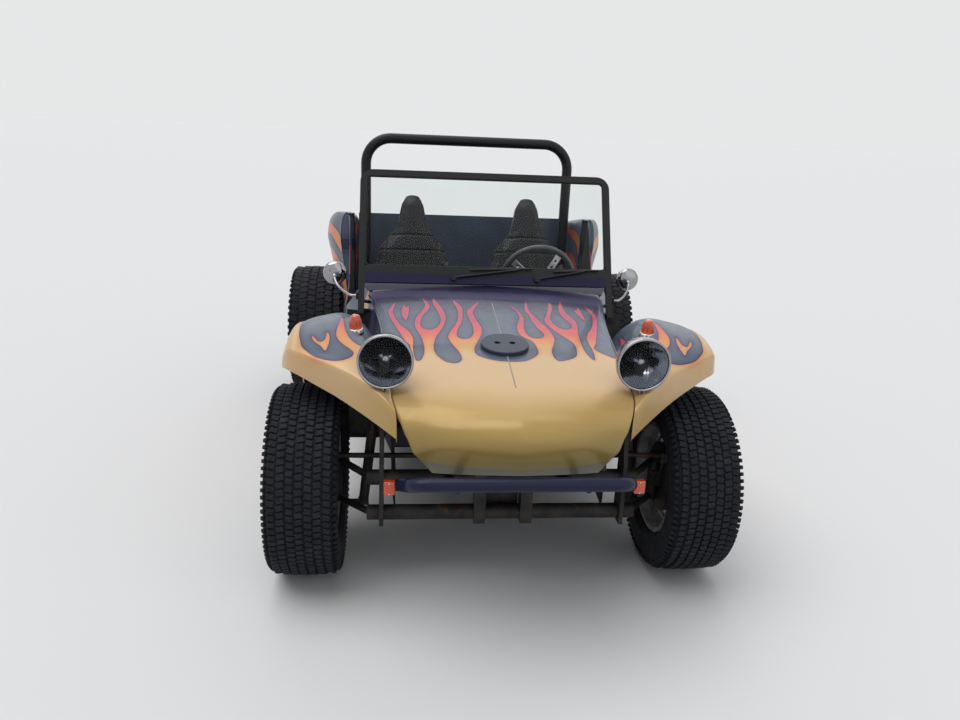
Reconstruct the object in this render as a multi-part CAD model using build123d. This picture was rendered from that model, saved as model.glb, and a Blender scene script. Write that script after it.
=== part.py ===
from build123d import *
import os
from math import sin, cos, radians

# Open two-seat dune buggy: a glass-fibre body on a shortened floor pan, air-cooled flat four at the back.
# Millimetres. While the pieces are shaped, the front axle is at y = 0, the ground at z = 0, the nose
# points to -Y and the driver sits on the +X side. The last function moves the car so that the middle
# of its length is at y = 0.

# Stance
WHEELBASE = 2000.0
FRONT_TRACK_HALF = 666.0
REAR_TRACK_HALF = 825.0
FRONT_TYRE_R = 333.0
FRONT_TYRE_W = 235.0
REAR_TYRE_R = 360.0
REAR_TYRE_W = 300.0
FLOOR_Z = 250.0
RUNNING_GAP = 0.3

# Wheels and brakes
RIM_SEAT_R = 190.5
RIM_FLANGE_R = 203.0
RIM_WELL_R = 170.0
RIM_WALL = 4.0
FRONT_RIM_W = 178.0
REAR_RIM_W = 254.0
DISC_WALL = 8.0
SPOKES = 8
HUB_FACE_R = 92.0
HUB_HOLE_R = 38.0
LUG_PCD_R = 65.0
LUGS = 4
DRUM_R = 125.0
DRUM_DEPTH = 40.0
DRUM_WALL = 6.0
FRONT_DISC_X = 640.0
REAR_DISC_X = 748.0
SPINDLE_R = 14.0

# Front suspension and steering
BEAM_Y = -140.0
BEAM_LOW_Z = 268.0
BEAM_SPREAD = 130.0
BEAM_TUBE_R = 26.0
BEAM_HALF = 430.0
TOWER_TOP_Z = 600.0
KINGPIN_X = 575.0
KNUCKLE_HALF = 61.5
EYE_R = 20.0
EYE_H = 26.0
ARM_R = 12.0
STEER_ARM = 85.0
STEER_ARM_Z = 440.0
ROD_Z = 453.0
ROD_R = 9.0
PITMAN_X = 290.0
PITMAN_LENGTH = 100.0
COLUMN_TILT = 24.0
WHEEL_RIM_R = 165.0
WHEEL_GRIP_R = 13.0
WHEEL_Y = 1078.0
WHEEL_Z = 862.0
WHEEL_DISH = 45.0
COLUMN_R = 19.0
COLUMN_LENGTH = 1000.0
COLUMN_HOLE_GAP = 2.0
SHOCK_X = 478.0
SHOCK_Y = -50.0
SHOCK_EYE_HALF = 18.0

# Body
SKIN = 6.0
PANEL_GAP = 3.0
COWL_END_Y = 700.0
HOOD_FLANGE = 20.0
WELL_HALF = 600.0
SHELF_Z = 620.0
SEAT_BULKHEAD_Y = WHEELBASE - 440.0
DECK_BULKHEAD_Y = WHEELBASE - 50.0
DECK_END_Y = WHEELBASE + 300.0
DECK_Z = 1046.0
DECK_FALL = 120.0
ARCH_R = 430.0

# Windscreen, hoop and fittings
SCREEN_HALF = 530.0
SCREEN_Y = 650.0
SCREEN_Z = 961.0
SCREEN_RAKE = 25.0
SCREEN_HEIGHT = 426.0
SCREEN_BAR = 25.0
SCREEN_DEPTH = 18.0
SCREEN_CORNER_R = 55.0
SCREEN_LEG = 190.0
RAIL_DROP = 58.0
GLASS = 5.0
HOOP_HALF = 580.0
HOOP_TOP_Z = 1487.0
HOOP_Y = WHEELBASE - 176.0
HOOP_TUBE_R = 27.0
HOOP_BEND_R = 135.0
LAMP_X = 400.0
LAMP_Y = -285.0
LAMP_Z = 849.0
LAMP_R = 86.0
LAMP_DEPTH = 120.0
CAP_R = 83.0
CAP_H = 14.0
BUMPER_HALF = 302.0
BUMPER_Y = -548.0
BUMPER_Z = 566.0
BUMPER_R = 21.0
SEAT_X = 302.0
SEAT_Y = SEAT_BULKHEAD_Y - 500.0

# Engine
ENGINE_Y = WHEELBASE + 150.0
CYLINDER_HALF_SPAN = 370.0

# Hood sections from the cowl down to the lower lip.
# y, z of the centre crease; tilt of the section from upright; half width; drop of the edge; bulge
HOOD_SECTIONS = [
    (600.0, 900.0, 8.0, 484.0, 21.0, 5.0),
    (300.0, 860.0, 8.0, 430.0, 22.0, 5.0),
    (0.0, 820.0, 8.0, 405.0, 26.0, 6.0),
    (-200.0, 791.0, 9.0, 388.0, 30.0, 7.0),
    (-330.0, 767.0, 13.0, 373.0, 40.0, 9.0),
    (-420.0, 744.0, 30.0, 346.0, 70.0, 15.0),
    (-484.0, 719.0, 50.0, 330.0, 118.0, 25.0),
    (-508.0, 678.0, 55.0, 314.0, 129.0, 27.0),
    (-502.0, 630.0, 63.0, 292.0, 112.0, 23.0),
    (-480.0, 585.0, 67.0, 270.0, 84.0, 17.0),
    (-466.0, 555.0, 73.0, 257.0, 67.0, 13.0),
]
# Cowl panel, the fixed strip behind the hood: same columns
COWL_SECTIONS = [
    (603.0, 900.4, 8.0, 484.5, 21.0, 3.0),
    (700.0, 913.0, 8.0, 522.0, 20.0, 3.0),
]
# Front fender sections across the car: x; lower lip y, z; crest y, z; top y, z; rear foot y, z
FENDER_SECTIONS = [
    (305.0, -408.0, 601.0, -398.0, 640.0, 0.0, 738.0, 560.0, 262.0),
    (335.0, -382.0, 613.0, -372.0, 672.0, 0.0, 752.0, 560.0, 262.0),
    (365.0, -355.0, 625.0, -352.0, 710.0, 10.0, 762.0, 560.0, 262.0),
    (400.0, -322.0, 640.0, -325.0, 740.0, 25.0, 775.0, 560.0, 262.0),
    (440.0, -285.0, 656.0, -287.0, 762.0, 45.0, 798.0, 560.0, 262.0),
    (485.0, -244.0, 673.0, -248.0, 781.0, 90.0, 848.0, 560.0, 262.0),
    (545.0, -196.0, 696.0, -205.0, 797.0, 110.0, 884.0, 560.0, 262.0),
    (630.0, -134.0, 723.0, -145.0, 812.0, 105.0, 880.0, 560.0, 262.0),
    (690.0, -93.0, 742.0, -96.0, 819.0, 85.0, 864.0, 556.0, 262.0),
    (728.0, -62.0, 750.0, -56.0, 810.0, 80.0, 840.0, 546.0, 264.0),
    (746.0, -25.0, 745.0, -20.0, 772.0, 80.0, 796.0, 522.0, 268.0),
]
# Tub side wall: y; x at the floor; x at the top edge; z of the top edge
TUB_SECTIONS = [
    (60.0, 380.0, 402.0, 793.5),
    (300.0, 384.0, 422.0, 828.5),
    (600.0, 572.0, 473.5, 871.0),
    (700.0, 574.0, 513.0, 885.0),
    (830.0, 575.0, 582.0, 780.0),
    (960.0, 576.0, 608.0, 728.0),
    (SEAT_BULKHEAD_Y - 260.0, 577.0, 612.0, 834.0),
    (SEAT_BULKHEAD_Y - 80.0, 578.0, 622.0, 1062.0),
    (SEAT_BULKHEAD_Y, 580.0, 634.0, 1082.0),
]
# Wheel-well inner wall, below the fender: y; x at the floor; x at the top; highest z
WELL_SECTIONS = [
    (-70.0, 372.0, 388.0, 766.0),
    (60.0, 380.0, 398.0, 786.0),
    (300.0, 376.0, 420.0, 900.0),
    (556.0, 420.0, 466.0, 900.0),
]
# Rear quarter: y; shoulder x; shoulder z; widest x; widest z; lip x; lip z
QUARTER_SECTIONS = [
    (SEAT_BULKHEAD_Y, 650.0, 1082.0, 672.0, 940.0, 610.0, 420.0),
    (WHEELBASE - 320.0, 690.0, 1078.0, 728.0, 925.0, 660.0, 560.0),
    (WHEELBASE - 200.0, 712.0, 1062.0, 758.0, 920.0, 700.0, 640.0),
    (WHEELBASE + 50.0, 712.0, 1020.0, 762.0, 890.0, 715.0, 640.0),
    (DECK_END_Y, 650.0, 930.0, 690.0, 830.0, 660.0, 640.0),
]
# Floor pan
FLOOR_HALF = 560.0
FLOOR_FRONT_Y = 455.0
TOE_HALF = 395.0
FOOTWELL_END_Y = 590.0
TUNNEL_HALF = 72.0
TUNNEL_Z = 395.0
PAN_WALL = 5.0
BODY_Z = FLOOR_Z + PAN_WALL
TORSION_Y = WHEELBASE - 370.0
TORSION_Z = 345.0
TORSION_R = 42.0


def mirrored(shape):
    """The same piece on the other side of the car."""
    return mirror(shape, about=Plane.YZ)


def both(shape):
    """A piece and its mirror image as solids of one node."""
    return group(shape, mirrored(shape))


def group(*shapes):
    """Pieces of one node that don't touch each other."""
    return Compound([solid for shape in shapes for solid in shape.solids()])


def rod(a, b, r):
    """Round bar from point a to point b."""
    start, end = Vector(*a), Vector(*b)
    return Solid.make_cylinder(r, (end - start).length, Plane(origin=start, z_dir=end - start))


def block(x0, x1, y0, y1, z0, z1):
    """Box between two corners."""
    return Pos((x0 + x1) / 2, (y0 + y1) / 2, (z0 + z1) / 2) * Box(x1 - x0, y1 - y0, z1 - z0)


def bent_tube(points, radii, r):
    """Round tube along straight runs joined by arcs."""
    path = FilletPolyline(*points, radius=radii)
    return sweep(Plane(path @ 0, z_dir=path % 0) * Circle(r), path=path)


def spun(points, y=0.0, z=0.0):
    """Profile of (x, radius) points turned about an axis along X through y, z."""
    outline = Polyline(*[(x, 0, r) for x, r in points], close=True)
    return Pos(0, y, z) * revolve(make_face(outline), axis=Axis.X)


def side_plate(points, x0, x1):
    """Flat plate with a (y, z) outline, between x0 and x1."""
    face = make_face(Polyline(*[(x0, y, z) for y, z in points], close=True))
    return extrude(face, amount=x1 - x0, dir=(1, 0, 0))


def plan_plate(points, z0, z1):
    """Plate with an (x, y) outline, between z0 and z1."""
    face = make_face(Polyline(*[(x, y, z0) for x, y in points], close=True))
    return extrude(face, amount=z1 - z0, dir=(0, 0, 1))


def bulged(a, b, bulge, up):
    """Arc from a to b whose middle stands off the chord by bulge towards up."""
    a, b, up = Vector(*a), Vector(*b), Vector(*up)
    middle = (a + b) * 0.5 + up.normalized() * bulge
    return ThreePointArc(a, middle, b)


# Body skins
def hood_section(y, z, tilt, half, drop, bulge, flange=HOOD_FLANGE, skin=SKIN):
    """Closed section of the hood: two bowed halves that meet in a crease, with turned-down edges."""
    t = radians(tilt)
    plane = Plane(origin=(0, y, z), x_dir=(1, 0, 0), z_dir=(0, -cos(t), -sin(t)))
    arcs = [
        bulged((-half, -drop, 0), (0, 0, 0), bulge, (0, 1, 0)),
        bulged((0, 0, 0), (half, -drop, 0), bulge, (0, 1, 0)),
        Line((half, -drop), (half, -drop - flange)),
        Line((half, -drop - flange), (half - skin, -drop - flange)),
        Line((half - skin, -drop - flange), (half - skin, -drop - skin)),
        bulged((half - skin, -drop - skin, 0), (0, -skin, 0), bulge, (0, 1, 0)),
        bulged((0, -skin, 0), (-half + skin, -drop - skin, 0), bulge, (0, 1, 0)),
        Line((-half + skin, -drop - skin), (-half + skin, -drop - flange)),
        Line((-half + skin, -drop - flange), (-half, -drop - flange)),
        Line((-half, -drop - flange), (-half, -drop)),
    ]
    # The local y axis of the plane is the section's own upward direction
    return plane * make_face(arcs)


def make_hood():
    cap_seat = Pos(0, 0, hood_height(0.0)) * Rot(8, 0, 0) * Cylinder(CAP_R * 0.6, 80)
    shell = loft([hood_section(*row) for row in HOOD_SECTIONS], ruled=True)
    return shell - cap_seat


def tub_face(y, z):
    """Outer x of the tub's side wall at y, z."""
    rows = TUB_SECTIONS
    k = max(i for i in range(len(rows) - 1) if rows[i][0] <= y)
    share = (y - rows[k][0]) / (rows[k + 1][0] - rows[k][0])
    low, top, high = (a + (b - a) * share for a, b in zip(rows[k][1:], rows[k + 1][1:]))
    return top + (high - z) / (high - BODY_Z) * (low - top)


def hood_height(y):
    """Height of the hood's centre crease at y, on its straight stretch."""
    back, front = HOOD_SECTIONS[0], HOOD_SECTIONS[2]
    return front[1] + (back[1] - front[1]) * (y - front[0]) / (back[0] - front[0])


def fender_path(row, inset):
    """Outer edges of one fender section from lip to rear foot, moved in by inset."""
    x, lip_y, lip_z, crest_y, crest_z, top_y, top_z, foot_y, foot_z = row
    lip = (x, lip_y + inset, lip_z)
    crest = (x, crest_y + inset, crest_z - inset)
    top = (x, top_y, top_z - inset)
    foot = (x, foot_y - inset, foot_z)
    rise = 0.06 * (top_y - crest_y)
    front = bulged(crest, top, rise, (0, crest_z - top_z, top_y - crest_y))
    # The rear sweep leaves the crown level and is one arc down to the foot
    run, fall = foot_y - inset - top_y, top_z - inset - foot_z
    radius = (run * run + fall * fall) / (2 * fall)
    centre_z = top_z - inset - radius
    turn = radians(50)
    middle = (x, top_y + radius * sin(turn), centre_z + radius * cos(turn))
    return Line(lip, crest), front, ThreePointArc(top, middle, foot), lip, foot


def fender_band(row):
    """Closed thin section of the fender skin."""
    a, b, c, lip, foot = fender_path(row, 0.0)
    d, e, f, lip_in, foot_in = fender_path(row, SKIN)
    return make_face([a, b, c, Line(foot, foot_in), f, e, d, Line(lip_in, lip)])


def fender_fill(row, inset, low=200.0):
    """Closed section of everything below the fender skin."""
    a, b, c, lip, foot = fender_path(row, inset)
    x = row[0]
    return make_face([a, b, c, Line(foot, (x, foot[1], low)), Line((x, foot[1], low), (x, lip[1], low)),
                      Line((x, lip[1], low), lip)])


def wall(rows, z_low, thickness=SKIN):
    """Leaning wall through (y, x at z_low, x at the top, z of the top) rows, for the +X side."""
    faces = []
    for y, x_low, x_top, z_top in rows:
        faces.append(make_face(Polyline(
            (x_low, y, z_low), (x_top, y, z_top), (x_top - thickness, y, z_top),
            (x_low - thickness, y, z_low), close=True)))
    return loft(faces, ruled=True)


def hood_plan(gap, y_step=60.0, inset=10.0):
    """Plan outline of the hood's +X edge: at a gap ahead of y_step, and tucked under it behind."""
    edges = [(half + gap, y + drop * sin(radians(tilt))) for y, z, tilt, half, drop, bulge in HOOD_SECTIONS[2:8]]
    nose = [(edges[-1][0], -640.0), (0, -640.0)]
    mid_half = HOOD_SECTIONS[2][3]
    rear = [(0, 700.0), (HOOD_SECTIONS[0][3] - inset, 600.0), (HOOD_SECTIONS[1][3] - inset, 300.0),
            (mid_half - inset + 6, y_step), (mid_half + gap + 6, y_step)]
    return rear + edges + nose


def fender_volume(inset):
    """Everything below the fender's outer face, moved in by inset."""
    return loft([fender_fill(row, inset) for row in FENDER_SECTIONS])


def make_fender():
    """Left front fender: skin over the wheel with its inner wheel-well wall."""
    skin = loft([fender_band(row) for row in FENDER_SECTIONS])
    skin -= plan_plate(hood_plan(PANEL_GAP), 200, 1200)
    well = wall(WELL_SECTIONS, BODY_Z) & fender_volume(SKIN)
    return skin + well


def make_tub_side():
    """Left tub wall from the hood's edge back to the seat bulkhead, standing on the fender."""
    return wall(TUB_SECTIONS, BODY_Z) - fender_volume(-RUNNING_GAP)


def quarter_section(row, inset):
    """Outline points and arcs of the rear quarter's skin from the inner wall over to the lip."""
    y, sx, sz, wx, wz, lx, lz = row
    base = (WELL_HALF + inset, y, SHELF_Z)
    inner = (WELL_HALF + inset, y, sz - 12 - inset)
    top = (WELL_HALF + 14, y, sz - inset)
    shoulder = (sx - inset * 0.4, y, sz - inset)
    wide = (wx - inset, y, wz)
    lip = (lx - inset, y, lz)
    turn = ((sx + (wx - sx) * 0.75) - inset * 0.8, y, wz + (sz - wz) * 0.68 - inset * 0.6)
    return [Line(base, inner), Line(inner, top), Line(top, shoulder), ThreePointArc(shoulder, turn, wide),
            Line(wide, lip)], base, lip


def make_quarter():
    """Left rear quarter: fender over the rear wheel, with the load well's inner wall."""
    faces = []
    for row in QUARTER_SECTIONS:
        outer, base, lip = quarter_section(row, 0.0)
        inner, base_in, lip_in = quarter_section(row, SKIN)
        faces.append(make_face(outer + [Line(lip, lip_in)] + inner + [Line(base_in, base)]))
    outer, base, lip = quarter_section(QUARTER_SECTIONS[-1], 0.0)
    end = make_face(outer + [Line(lip, (lip[0], lip[1], base[2])), Line((lip[0], lip[1], base[2]), base)])
    shell = loft(faces, ruled=True) + extrude(end, amount=SKIN, dir=(0, 1, 0))
    arch = Pos(WELL_HALF + 200, WHEELBASE, REAR_TYRE_R) * Rot(0, 90, 0) * Cylinder(ARCH_R, 360)
    return shell - arch


def make_cowl():
    """Fixed strip behind the hood with the dash below it, and the toe board down to the floor."""
    strip = loft([hood_section(*row, flange=SKIN * 1.01) for row in COWL_SECTIONS], ruled=True)
    dash_half, dash_low = 478.0, 715.0
    dash_top = COWL_SECTIONS[1][1] - COWL_SECTIONS[1][4] - 10
    dash = block(-dash_half, dash_half, COWL_END_Y - SKIN, COWL_END_Y, dash_low, dash_top)
    lip = block(-dash_half, dash_half, COWL_END_Y - 30, COWL_END_Y - SKIN, dash_low, dash_low + SKIN)
    toe_y, knee_z, fire_top = 130.0, 470.0, 780.0
    toe = side_plate([(toe_y, knee_z), (toe_y, fire_top), (toe_y + SKIN, fire_top), (toe_y + SKIN, knee_z + 2),
                      (FLOOR_FRONT_Y + SKIN, BODY_Z), (FLOOR_FRONT_Y, BODY_Z)], 0, 480)
    inside = [(y, low - SKIN - RUNNING_GAP, top - SKIN - RUNNING_GAP, high) for y, low, top, high in WELL_SECTIONS]
    toe = toe & wall(inside, BODY_Z, thickness=420)
    toe = toe + mirrored(toe)
    toe -= block(-TUNNEL_HALF - 1, TUNNEL_HALF + 1, 0, 600, FLOOR_Z, TUNNEL_Z + 1)
    toe -= rod(column_point(COLUMN_LENGTH - 170), column_point(COLUMN_LENGTH + 40), COLUMN_R + COLUMN_HOLE_GAP)
    toe -= block(PITMAN_X - 16, PITMAN_X + 16, 100, toe_y + 40, 440, 500)
    return group(strip + dash + lip, toe)


def make_rear_deck():
    """Load well behind the seats and the deck over the engine."""
    half = WELL_HALF - RUNNING_GAP
    riser = block(-half, half, SEAT_BULKHEAD_Y, SEAT_BULKHEAD_Y + SKIN, BODY_Z, SHELF_Z)
    riser -= block(-TUNNEL_HALF - 1, TUNNEL_HALF + 1, 0, 2000, FLOOR_Z, TUNNEL_Z + 1)
    shelf = block(-half, half, SEAT_BULKHEAD_Y, DECK_BULKHEAD_Y + SKIN, SHELF_Z, SHELF_Z + SKIN)
    profile = [(DECK_BULKHEAD_Y, SHELF_Z), (DECK_BULKHEAD_Y, DECK_Z), (DECK_END_Y, DECK_Z - DECK_FALL),
               (DECK_END_Y + 20, DECK_Z - DECK_FALL - 110), (DECK_END_Y + 14, DECK_Z - DECK_FALL - 110),
               (DECK_END_Y - SKIN, DECK_Z - DECK_FALL - SKIN), (DECK_BULKHEAD_Y + SKIN, DECK_Z - SKIN),
               (DECK_BULKHEAD_Y + SKIN, SHELF_Z)]
    return riser + shelf + side_plate(profile, -half, half)


# Chassis

def make_floor_pan():
    """Pressed floor with its tunnel and the frame head that carries the front beam."""
    low, high = FLOOR_Z, TUNNEL_Z
    back = SEAT_BULKHEAD_Y + SKIN
    floor = plan_plate([(-TOE_HALF, FLOOR_FRONT_Y), (TOE_HALF, FLOOR_FRONT_Y), (TOE_HALF, FOOTWELL_END_Y),
                        (FLOOR_HALF, FOOTWELL_END_Y), (FLOOR_HALF, back), (-FLOOR_HALF, back),
                        (-FLOOR_HALF, FOOTWELL_END_Y), (-TOE_HALF, FOOTWELL_END_Y)], low, low + PAN_WALL)
    hump = [(-TUNNEL_HALF, low), (-TUNNEL_HALF + 12, high - 12), (-TUNNEL_HALF + 24, high),
            (TUNNEL_HALF - 24, high), (TUNNEL_HALF - 12, high - 12), (TUNNEL_HALF, low)]
    head_end_y = 300.0
    face = make_face(Polyline(*[(x, head_end_y, z) for x, z in hump], close=True))
    tunnel = extrude(face, amount=TORSION_Y - head_end_y, dir=(0, 1, 0))
    head_y = BEAM_Y + BEAM_TUBE_R
    head = side_plate([(head_y, BEAM_LOW_Z - 20), (head_y, BEAM_LOW_Z + BEAM_SPREAD + 14), (head_end_y, high - 30),
                       (head_end_y, low)], -TUNNEL_HALF + 14, TUNNEL_HALF - 14)
    torsion = rod((-FLOOR_HALF + 70.3, TORSION_Y, TORSION_Z), (FLOOR_HALF - 70.3, TORSION_Y, TORSION_Z), TORSION_R)
    return floor + tunnel + head + torsion


def make_front_beam():
    """Two torsion-bar tubes with their shock towers and the clamps to the frame head."""
    low, high = BEAM_LOW_Z, BEAM_LOW_Z + BEAM_SPREAD
    beam = None
    for z in (low, high):
        tube = rod((-BEAM_HALF, BEAM_Y, z), (BEAM_HALF, BEAM_Y, z), BEAM_TUBE_R)
        beam = tube if beam is None else beam + tube
    tower = side_plate([(BEAM_Y - 40, low - 34), (BEAM_Y + 36, low - 34), (BEAM_Y + 36, high + 70),
                        (SHOCK_Y + 20, TOWER_TOP_Z - 50), (SHOCK_Y + 20, TOWER_TOP_Z), (BEAM_Y, TOWER_TOP_Z),
                        (BEAM_Y - 36, high + 60)],
                       BEAM_HALF - 24, BEAM_HALF - 10)
    clamp = block(60, 100, BEAM_Y - 34, BEAM_Y + BEAM_TUBE_R, low - 30, high + 30)
    for piece in (tower, clamp):
        beam = beam + piece + mirrored(piece)
    return beam


def arm_z(upper):
    return FRONT_TYRE_R + (1 if upper else -1) * (KNUCKLE_HALF + EYE_H / 2 + 0.5)


def make_front_arms():
    """Four trailing arms from the beam's ends to the ball joints on the steering axis."""
    arms = []
    for upper, tube_z in ((False, BEAM_LOW_Z), (True, BEAM_LOW_Z + BEAM_SPREAD)):
        z = arm_z(upper)
        root = rod((BEAM_HALF + RUNNING_GAP, BEAM_Y, tube_z), (BEAM_HALF + 32, BEAM_Y, tube_z), BEAM_TUBE_R)
        eye = rod((KINGPIN_X, 0, z - EYE_H / 2), (KINGPIN_X, 0, z + EYE_H / 2), EYE_R)
        bar = rod((BEAM_HALF + 20, BEAM_Y, tube_z), (KINGPIN_X, 0, z), ARM_R)
        inward = -1 if upper else 1
        stud = rod((KINGPIN_X, 0, z), (KINGPIN_X, 0, z + inward * (EYE_H / 2 + 18)), 8)
        arm = root + bar + eye + stud
        if not upper:
            pin_x = SHOCK_X + SHOCK_EYE_HALF + RUNNING_GAP
            arm = arm + rod((pin_x, SHOCK_Y, z + 6), (SHOCK_X + 44, SHOCK_Y, z + 6), 8)
        arms.append(arm)
    return group(*arms, *[mirrored(a) for a in arms])


def make_knuckle():
    """Left steering knuckle: upright, spindle, brake back plate and steering arm."""
    z = FRONT_TYRE_R
    post = rod((KINGPIN_X, 0, z - KNUCKLE_HALF), (KINGPIN_X, 0, z + KNUCKLE_HALF), EYE_R)
    plate_x = FRONT_DISC_X - DRUM_DEPTH - 1
    plate = rod((plate_x - 3, 0, z), (plate_x, 0, z), DRUM_R - 4)
    spindle = rod((KINGPIN_X, 0, z), (FRONT_DISC_X + 12, 0, z), SPINDLE_R)
    web = block(KINGPIN_X - 12, plate_x - 2, -26, 26, z - 30, z + 30)
    arm_x = plate_x - 10
    bend = (arm_x, -STEER_ARM + 25, STEER_ARM_Z - 10)
    riser = rod((arm_x, -26, z + 10), bend, 8)
    reach = rod(bend, (KINGPIN_X, -STEER_ARM, STEER_ARM_Z - 10), 8) + Pos(*bend) * Sphere(8)
    eye = rod((KINGPIN_X, -STEER_ARM, STEER_ARM_Z - 13), (KINGPIN_X, -STEER_ARM, STEER_ARM_Z), 14)
    bores = [rod((KINGPIN_X, 0, z + s * (KNUCKLE_HALF - 20)), (KINGPIN_X, 0, z + s * KNUCKLE_HALF), 8 + RUNNING_GAP)
             for s in (-1, 1)]
    body = post + plate + spindle + web + riser + reach + eye
    for bore in bores:
        body = body - bore
    return body


def make_track_rods():
    """Long and short track rods with their eyes above the steering arms and the pitman arm."""
    y = -STEER_ARM
    bar = rod((-KINGPIN_X, y, ROD_Z), (KINGPIN_X, y, ROD_Z), ROD_R)
    for x in (-KINGPIN_X, KINGPIN_X):
        bar = bar + rod((x, y, STEER_ARM_Z + RUNNING_GAP), (x, y, ROD_Z + 10), 13)
    return bar + rod((PITMAN_X, y, ROD_Z), (PITMAN_X, y, ROD_Z + 12), 13)


def make_pitman_arm():
    """Arm below the steering box that swings the track rods."""
    y, z = -STEER_ARM, ROD_Z + 12 + RUNNING_GAP
    root_y = y - PITMAN_LENGTH
    hub = rod((PITMAN_X, root_y, z), (PITMAN_X, root_y, z + 26), 20)
    tip = rod((PITMAN_X, y, z), (PITMAN_X, y, z + 14), 14)
    bar = block(PITMAN_X - 9, PITMAN_X + 9, root_y, y, z + 1, z + 13)
    return hub + tip + bar


def column_point(distance):
    """Point on the steering column's axis, at a distance forward of the wheel's centre."""
    t = radians(COLUMN_TILT)
    return (PITMAN_X, WHEEL_Y - distance * cos(t), WHEEL_Z - distance * sin(t))


def make_steering_column():
    """Column jacket from behind the wheel to the steering box on the beam."""
    z_box = ROD_Z + 12 + 2 * RUNNING_GAP + 26
    root_y = -STEER_ARM - PITMAN_LENGTH
    jacket = rod(column_point(WHEEL_DISH + 22 + RUNNING_GAP), column_point(COLUMN_LENGTH), COLUMN_R)
    knee = column_point(COLUMN_LENGTH - 15)
    shaft = rod(knee, (PITMAN_X, root_y + 20, z_box + 40), 11)
    box = rod((PITMAN_X, root_y, z_box), (PITMAN_X, root_y, z_box + 75), 32)
    nose = rod((PITMAN_X, root_y, z_box + 38), (PITMAN_X, root_y + 60, z_box + 38), 24)
    foot = block(PITMAN_X + 22, PITMAN_X + 62, root_y - 10, BEAM_Y + 10, z_box + 2, z_box + 30)
    strap = block(PITMAN_X + 42, PITMAN_X + 62, BEAM_Y - 14, BEAM_Y + 10,
                  BEAM_LOW_Z + BEAM_SPREAD + BEAM_TUBE_R, z_box + 6)
    hang_y = COWL_END_Y - 16
    hang_z = column_point((WHEEL_Y - hang_y) / cos(radians(COLUMN_TILT)))[2]
    clamp = block(PITMAN_X - 24, PITMAN_X + 24, hang_y - 10, hang_y + 10, hang_z - 5, 715 - RUNNING_GAP)
    return jacket + shaft + box + nose + foot + strap + clamp


def make_steering_wheel():
    """Dished four-spoke wheel on its hub."""
    dish, hub_r = WHEEL_DISH, 34.0
    rim = Torus(WHEEL_RIM_R, WHEEL_GRIP_R)
    hub = Pos(0, 0, -dish) * Cylinder(hub_r, 26) + Pos(0, 0, -dish - 8) * Cylinder(19, 28)
    wheel = rim + hub
    for angle in (35, 125, 215, 305):
        spoke = side_plate([(hub_r - 8, -dish + 4), (hub_r - 8, -dish - 2), (hub_r + 30, -dish - 2),
                            (WHEEL_RIM_R - 4, -3), (WHEEL_RIM_R - 4, 3), (hub_r + 30, -dish + 4)], -15, 15)
        for hole in (66.0, 96.0, 126.0):
            spoke = spoke - Pos(0, hole, -30) * Cylinder(7, 60)
        wheel = wheel + Rot(0, 0, angle) * spoke
    tilt = Rot(-(90 - COLUMN_TILT), 0, 0)
    return Pos(PITMAN_X, WHEEL_Y, WHEEL_Z) * tilt * wheel


# Wheels

def make_tyre(track_half, radius, width, rim_width):
    """Tyre ring with rounded shoulders and bulging sidewalls."""
    w, bead = width / 2, rim_width / 2 - 1
    tread = w - 16
    seat = RIM_SEAT_R + RUNNING_GAP
    half = [(bead, seat), (bead, RIM_FLANGE_R + 4), (w - 6, RIM_FLANGE_R + 34), (w, radius - 62),
            (w - 3, radius - 34), (tread, radius - 9), (tread * 0.6, radius - 2)]
    points = half + [(0, radius)] + [(-x, r) for x, r in reversed(half)]
    return [(x + track_half, r) for x, r in points]


def make_rim(track_half, rim_width, disc_x):
    """Steel rim with a drop centre and a spoked disc."""
    h, t = rim_width / 2, RIM_WALL
    outer = [(-h - t, RIM_FLANGE_R), (-h, RIM_FLANGE_R), (-h, RIM_SEAT_R), (-h + 30, RIM_SEAT_R),
             (-h + 46, RIM_WELL_R), (h - 46, RIM_WELL_R), (h - 30, RIM_SEAT_R), (h, RIM_SEAT_R),
             (h, RIM_FLANGE_R), (h + t, RIM_FLANGE_R)]
    inner = [(h + t, RIM_SEAT_R - t), (h - 32, RIM_SEAT_R - t), (h - 48, RIM_WELL_R - t),
             (-h + 48, RIM_WELL_R - t), (-h + 32, RIM_SEAT_R - t), (-h - t, RIM_SEAT_R - t)]
    barrel = spun([(x + track_half, r) for x, r in outer + inner])
    disc = spun([(disc_x, HUB_HOLE_R), (disc_x + DISC_WALL, HUB_HOLE_R), (disc_x + DISC_WALL, RIM_WELL_R),
                 (disc_x, RIM_WELL_R)])
    window_in, window_out = HUB_FACE_R, RIM_WELL_R - 12
    step = 360 / SPOKES
    for k in range(SPOKES):
        window = side_plate([(-22, window_in), (22, window_in), (window_out * 0.27, window_out),
                             (-window_out * 0.27, window_out)], disc_x - 5, disc_x + DISC_WALL + 5)
        disc = disc - Rot(k * step, 0, 0) * window
    for k in range(LUGS):
        bolt = rod((disc_x + DISC_WALL, 0, LUG_PCD_R), (disc_x + DISC_WALL + 14, 0, LUG_PCD_R), 10)
        disc = disc + Rot(k * 90 + 45, 0, 0) * bolt
    return barrel + disc


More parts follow.
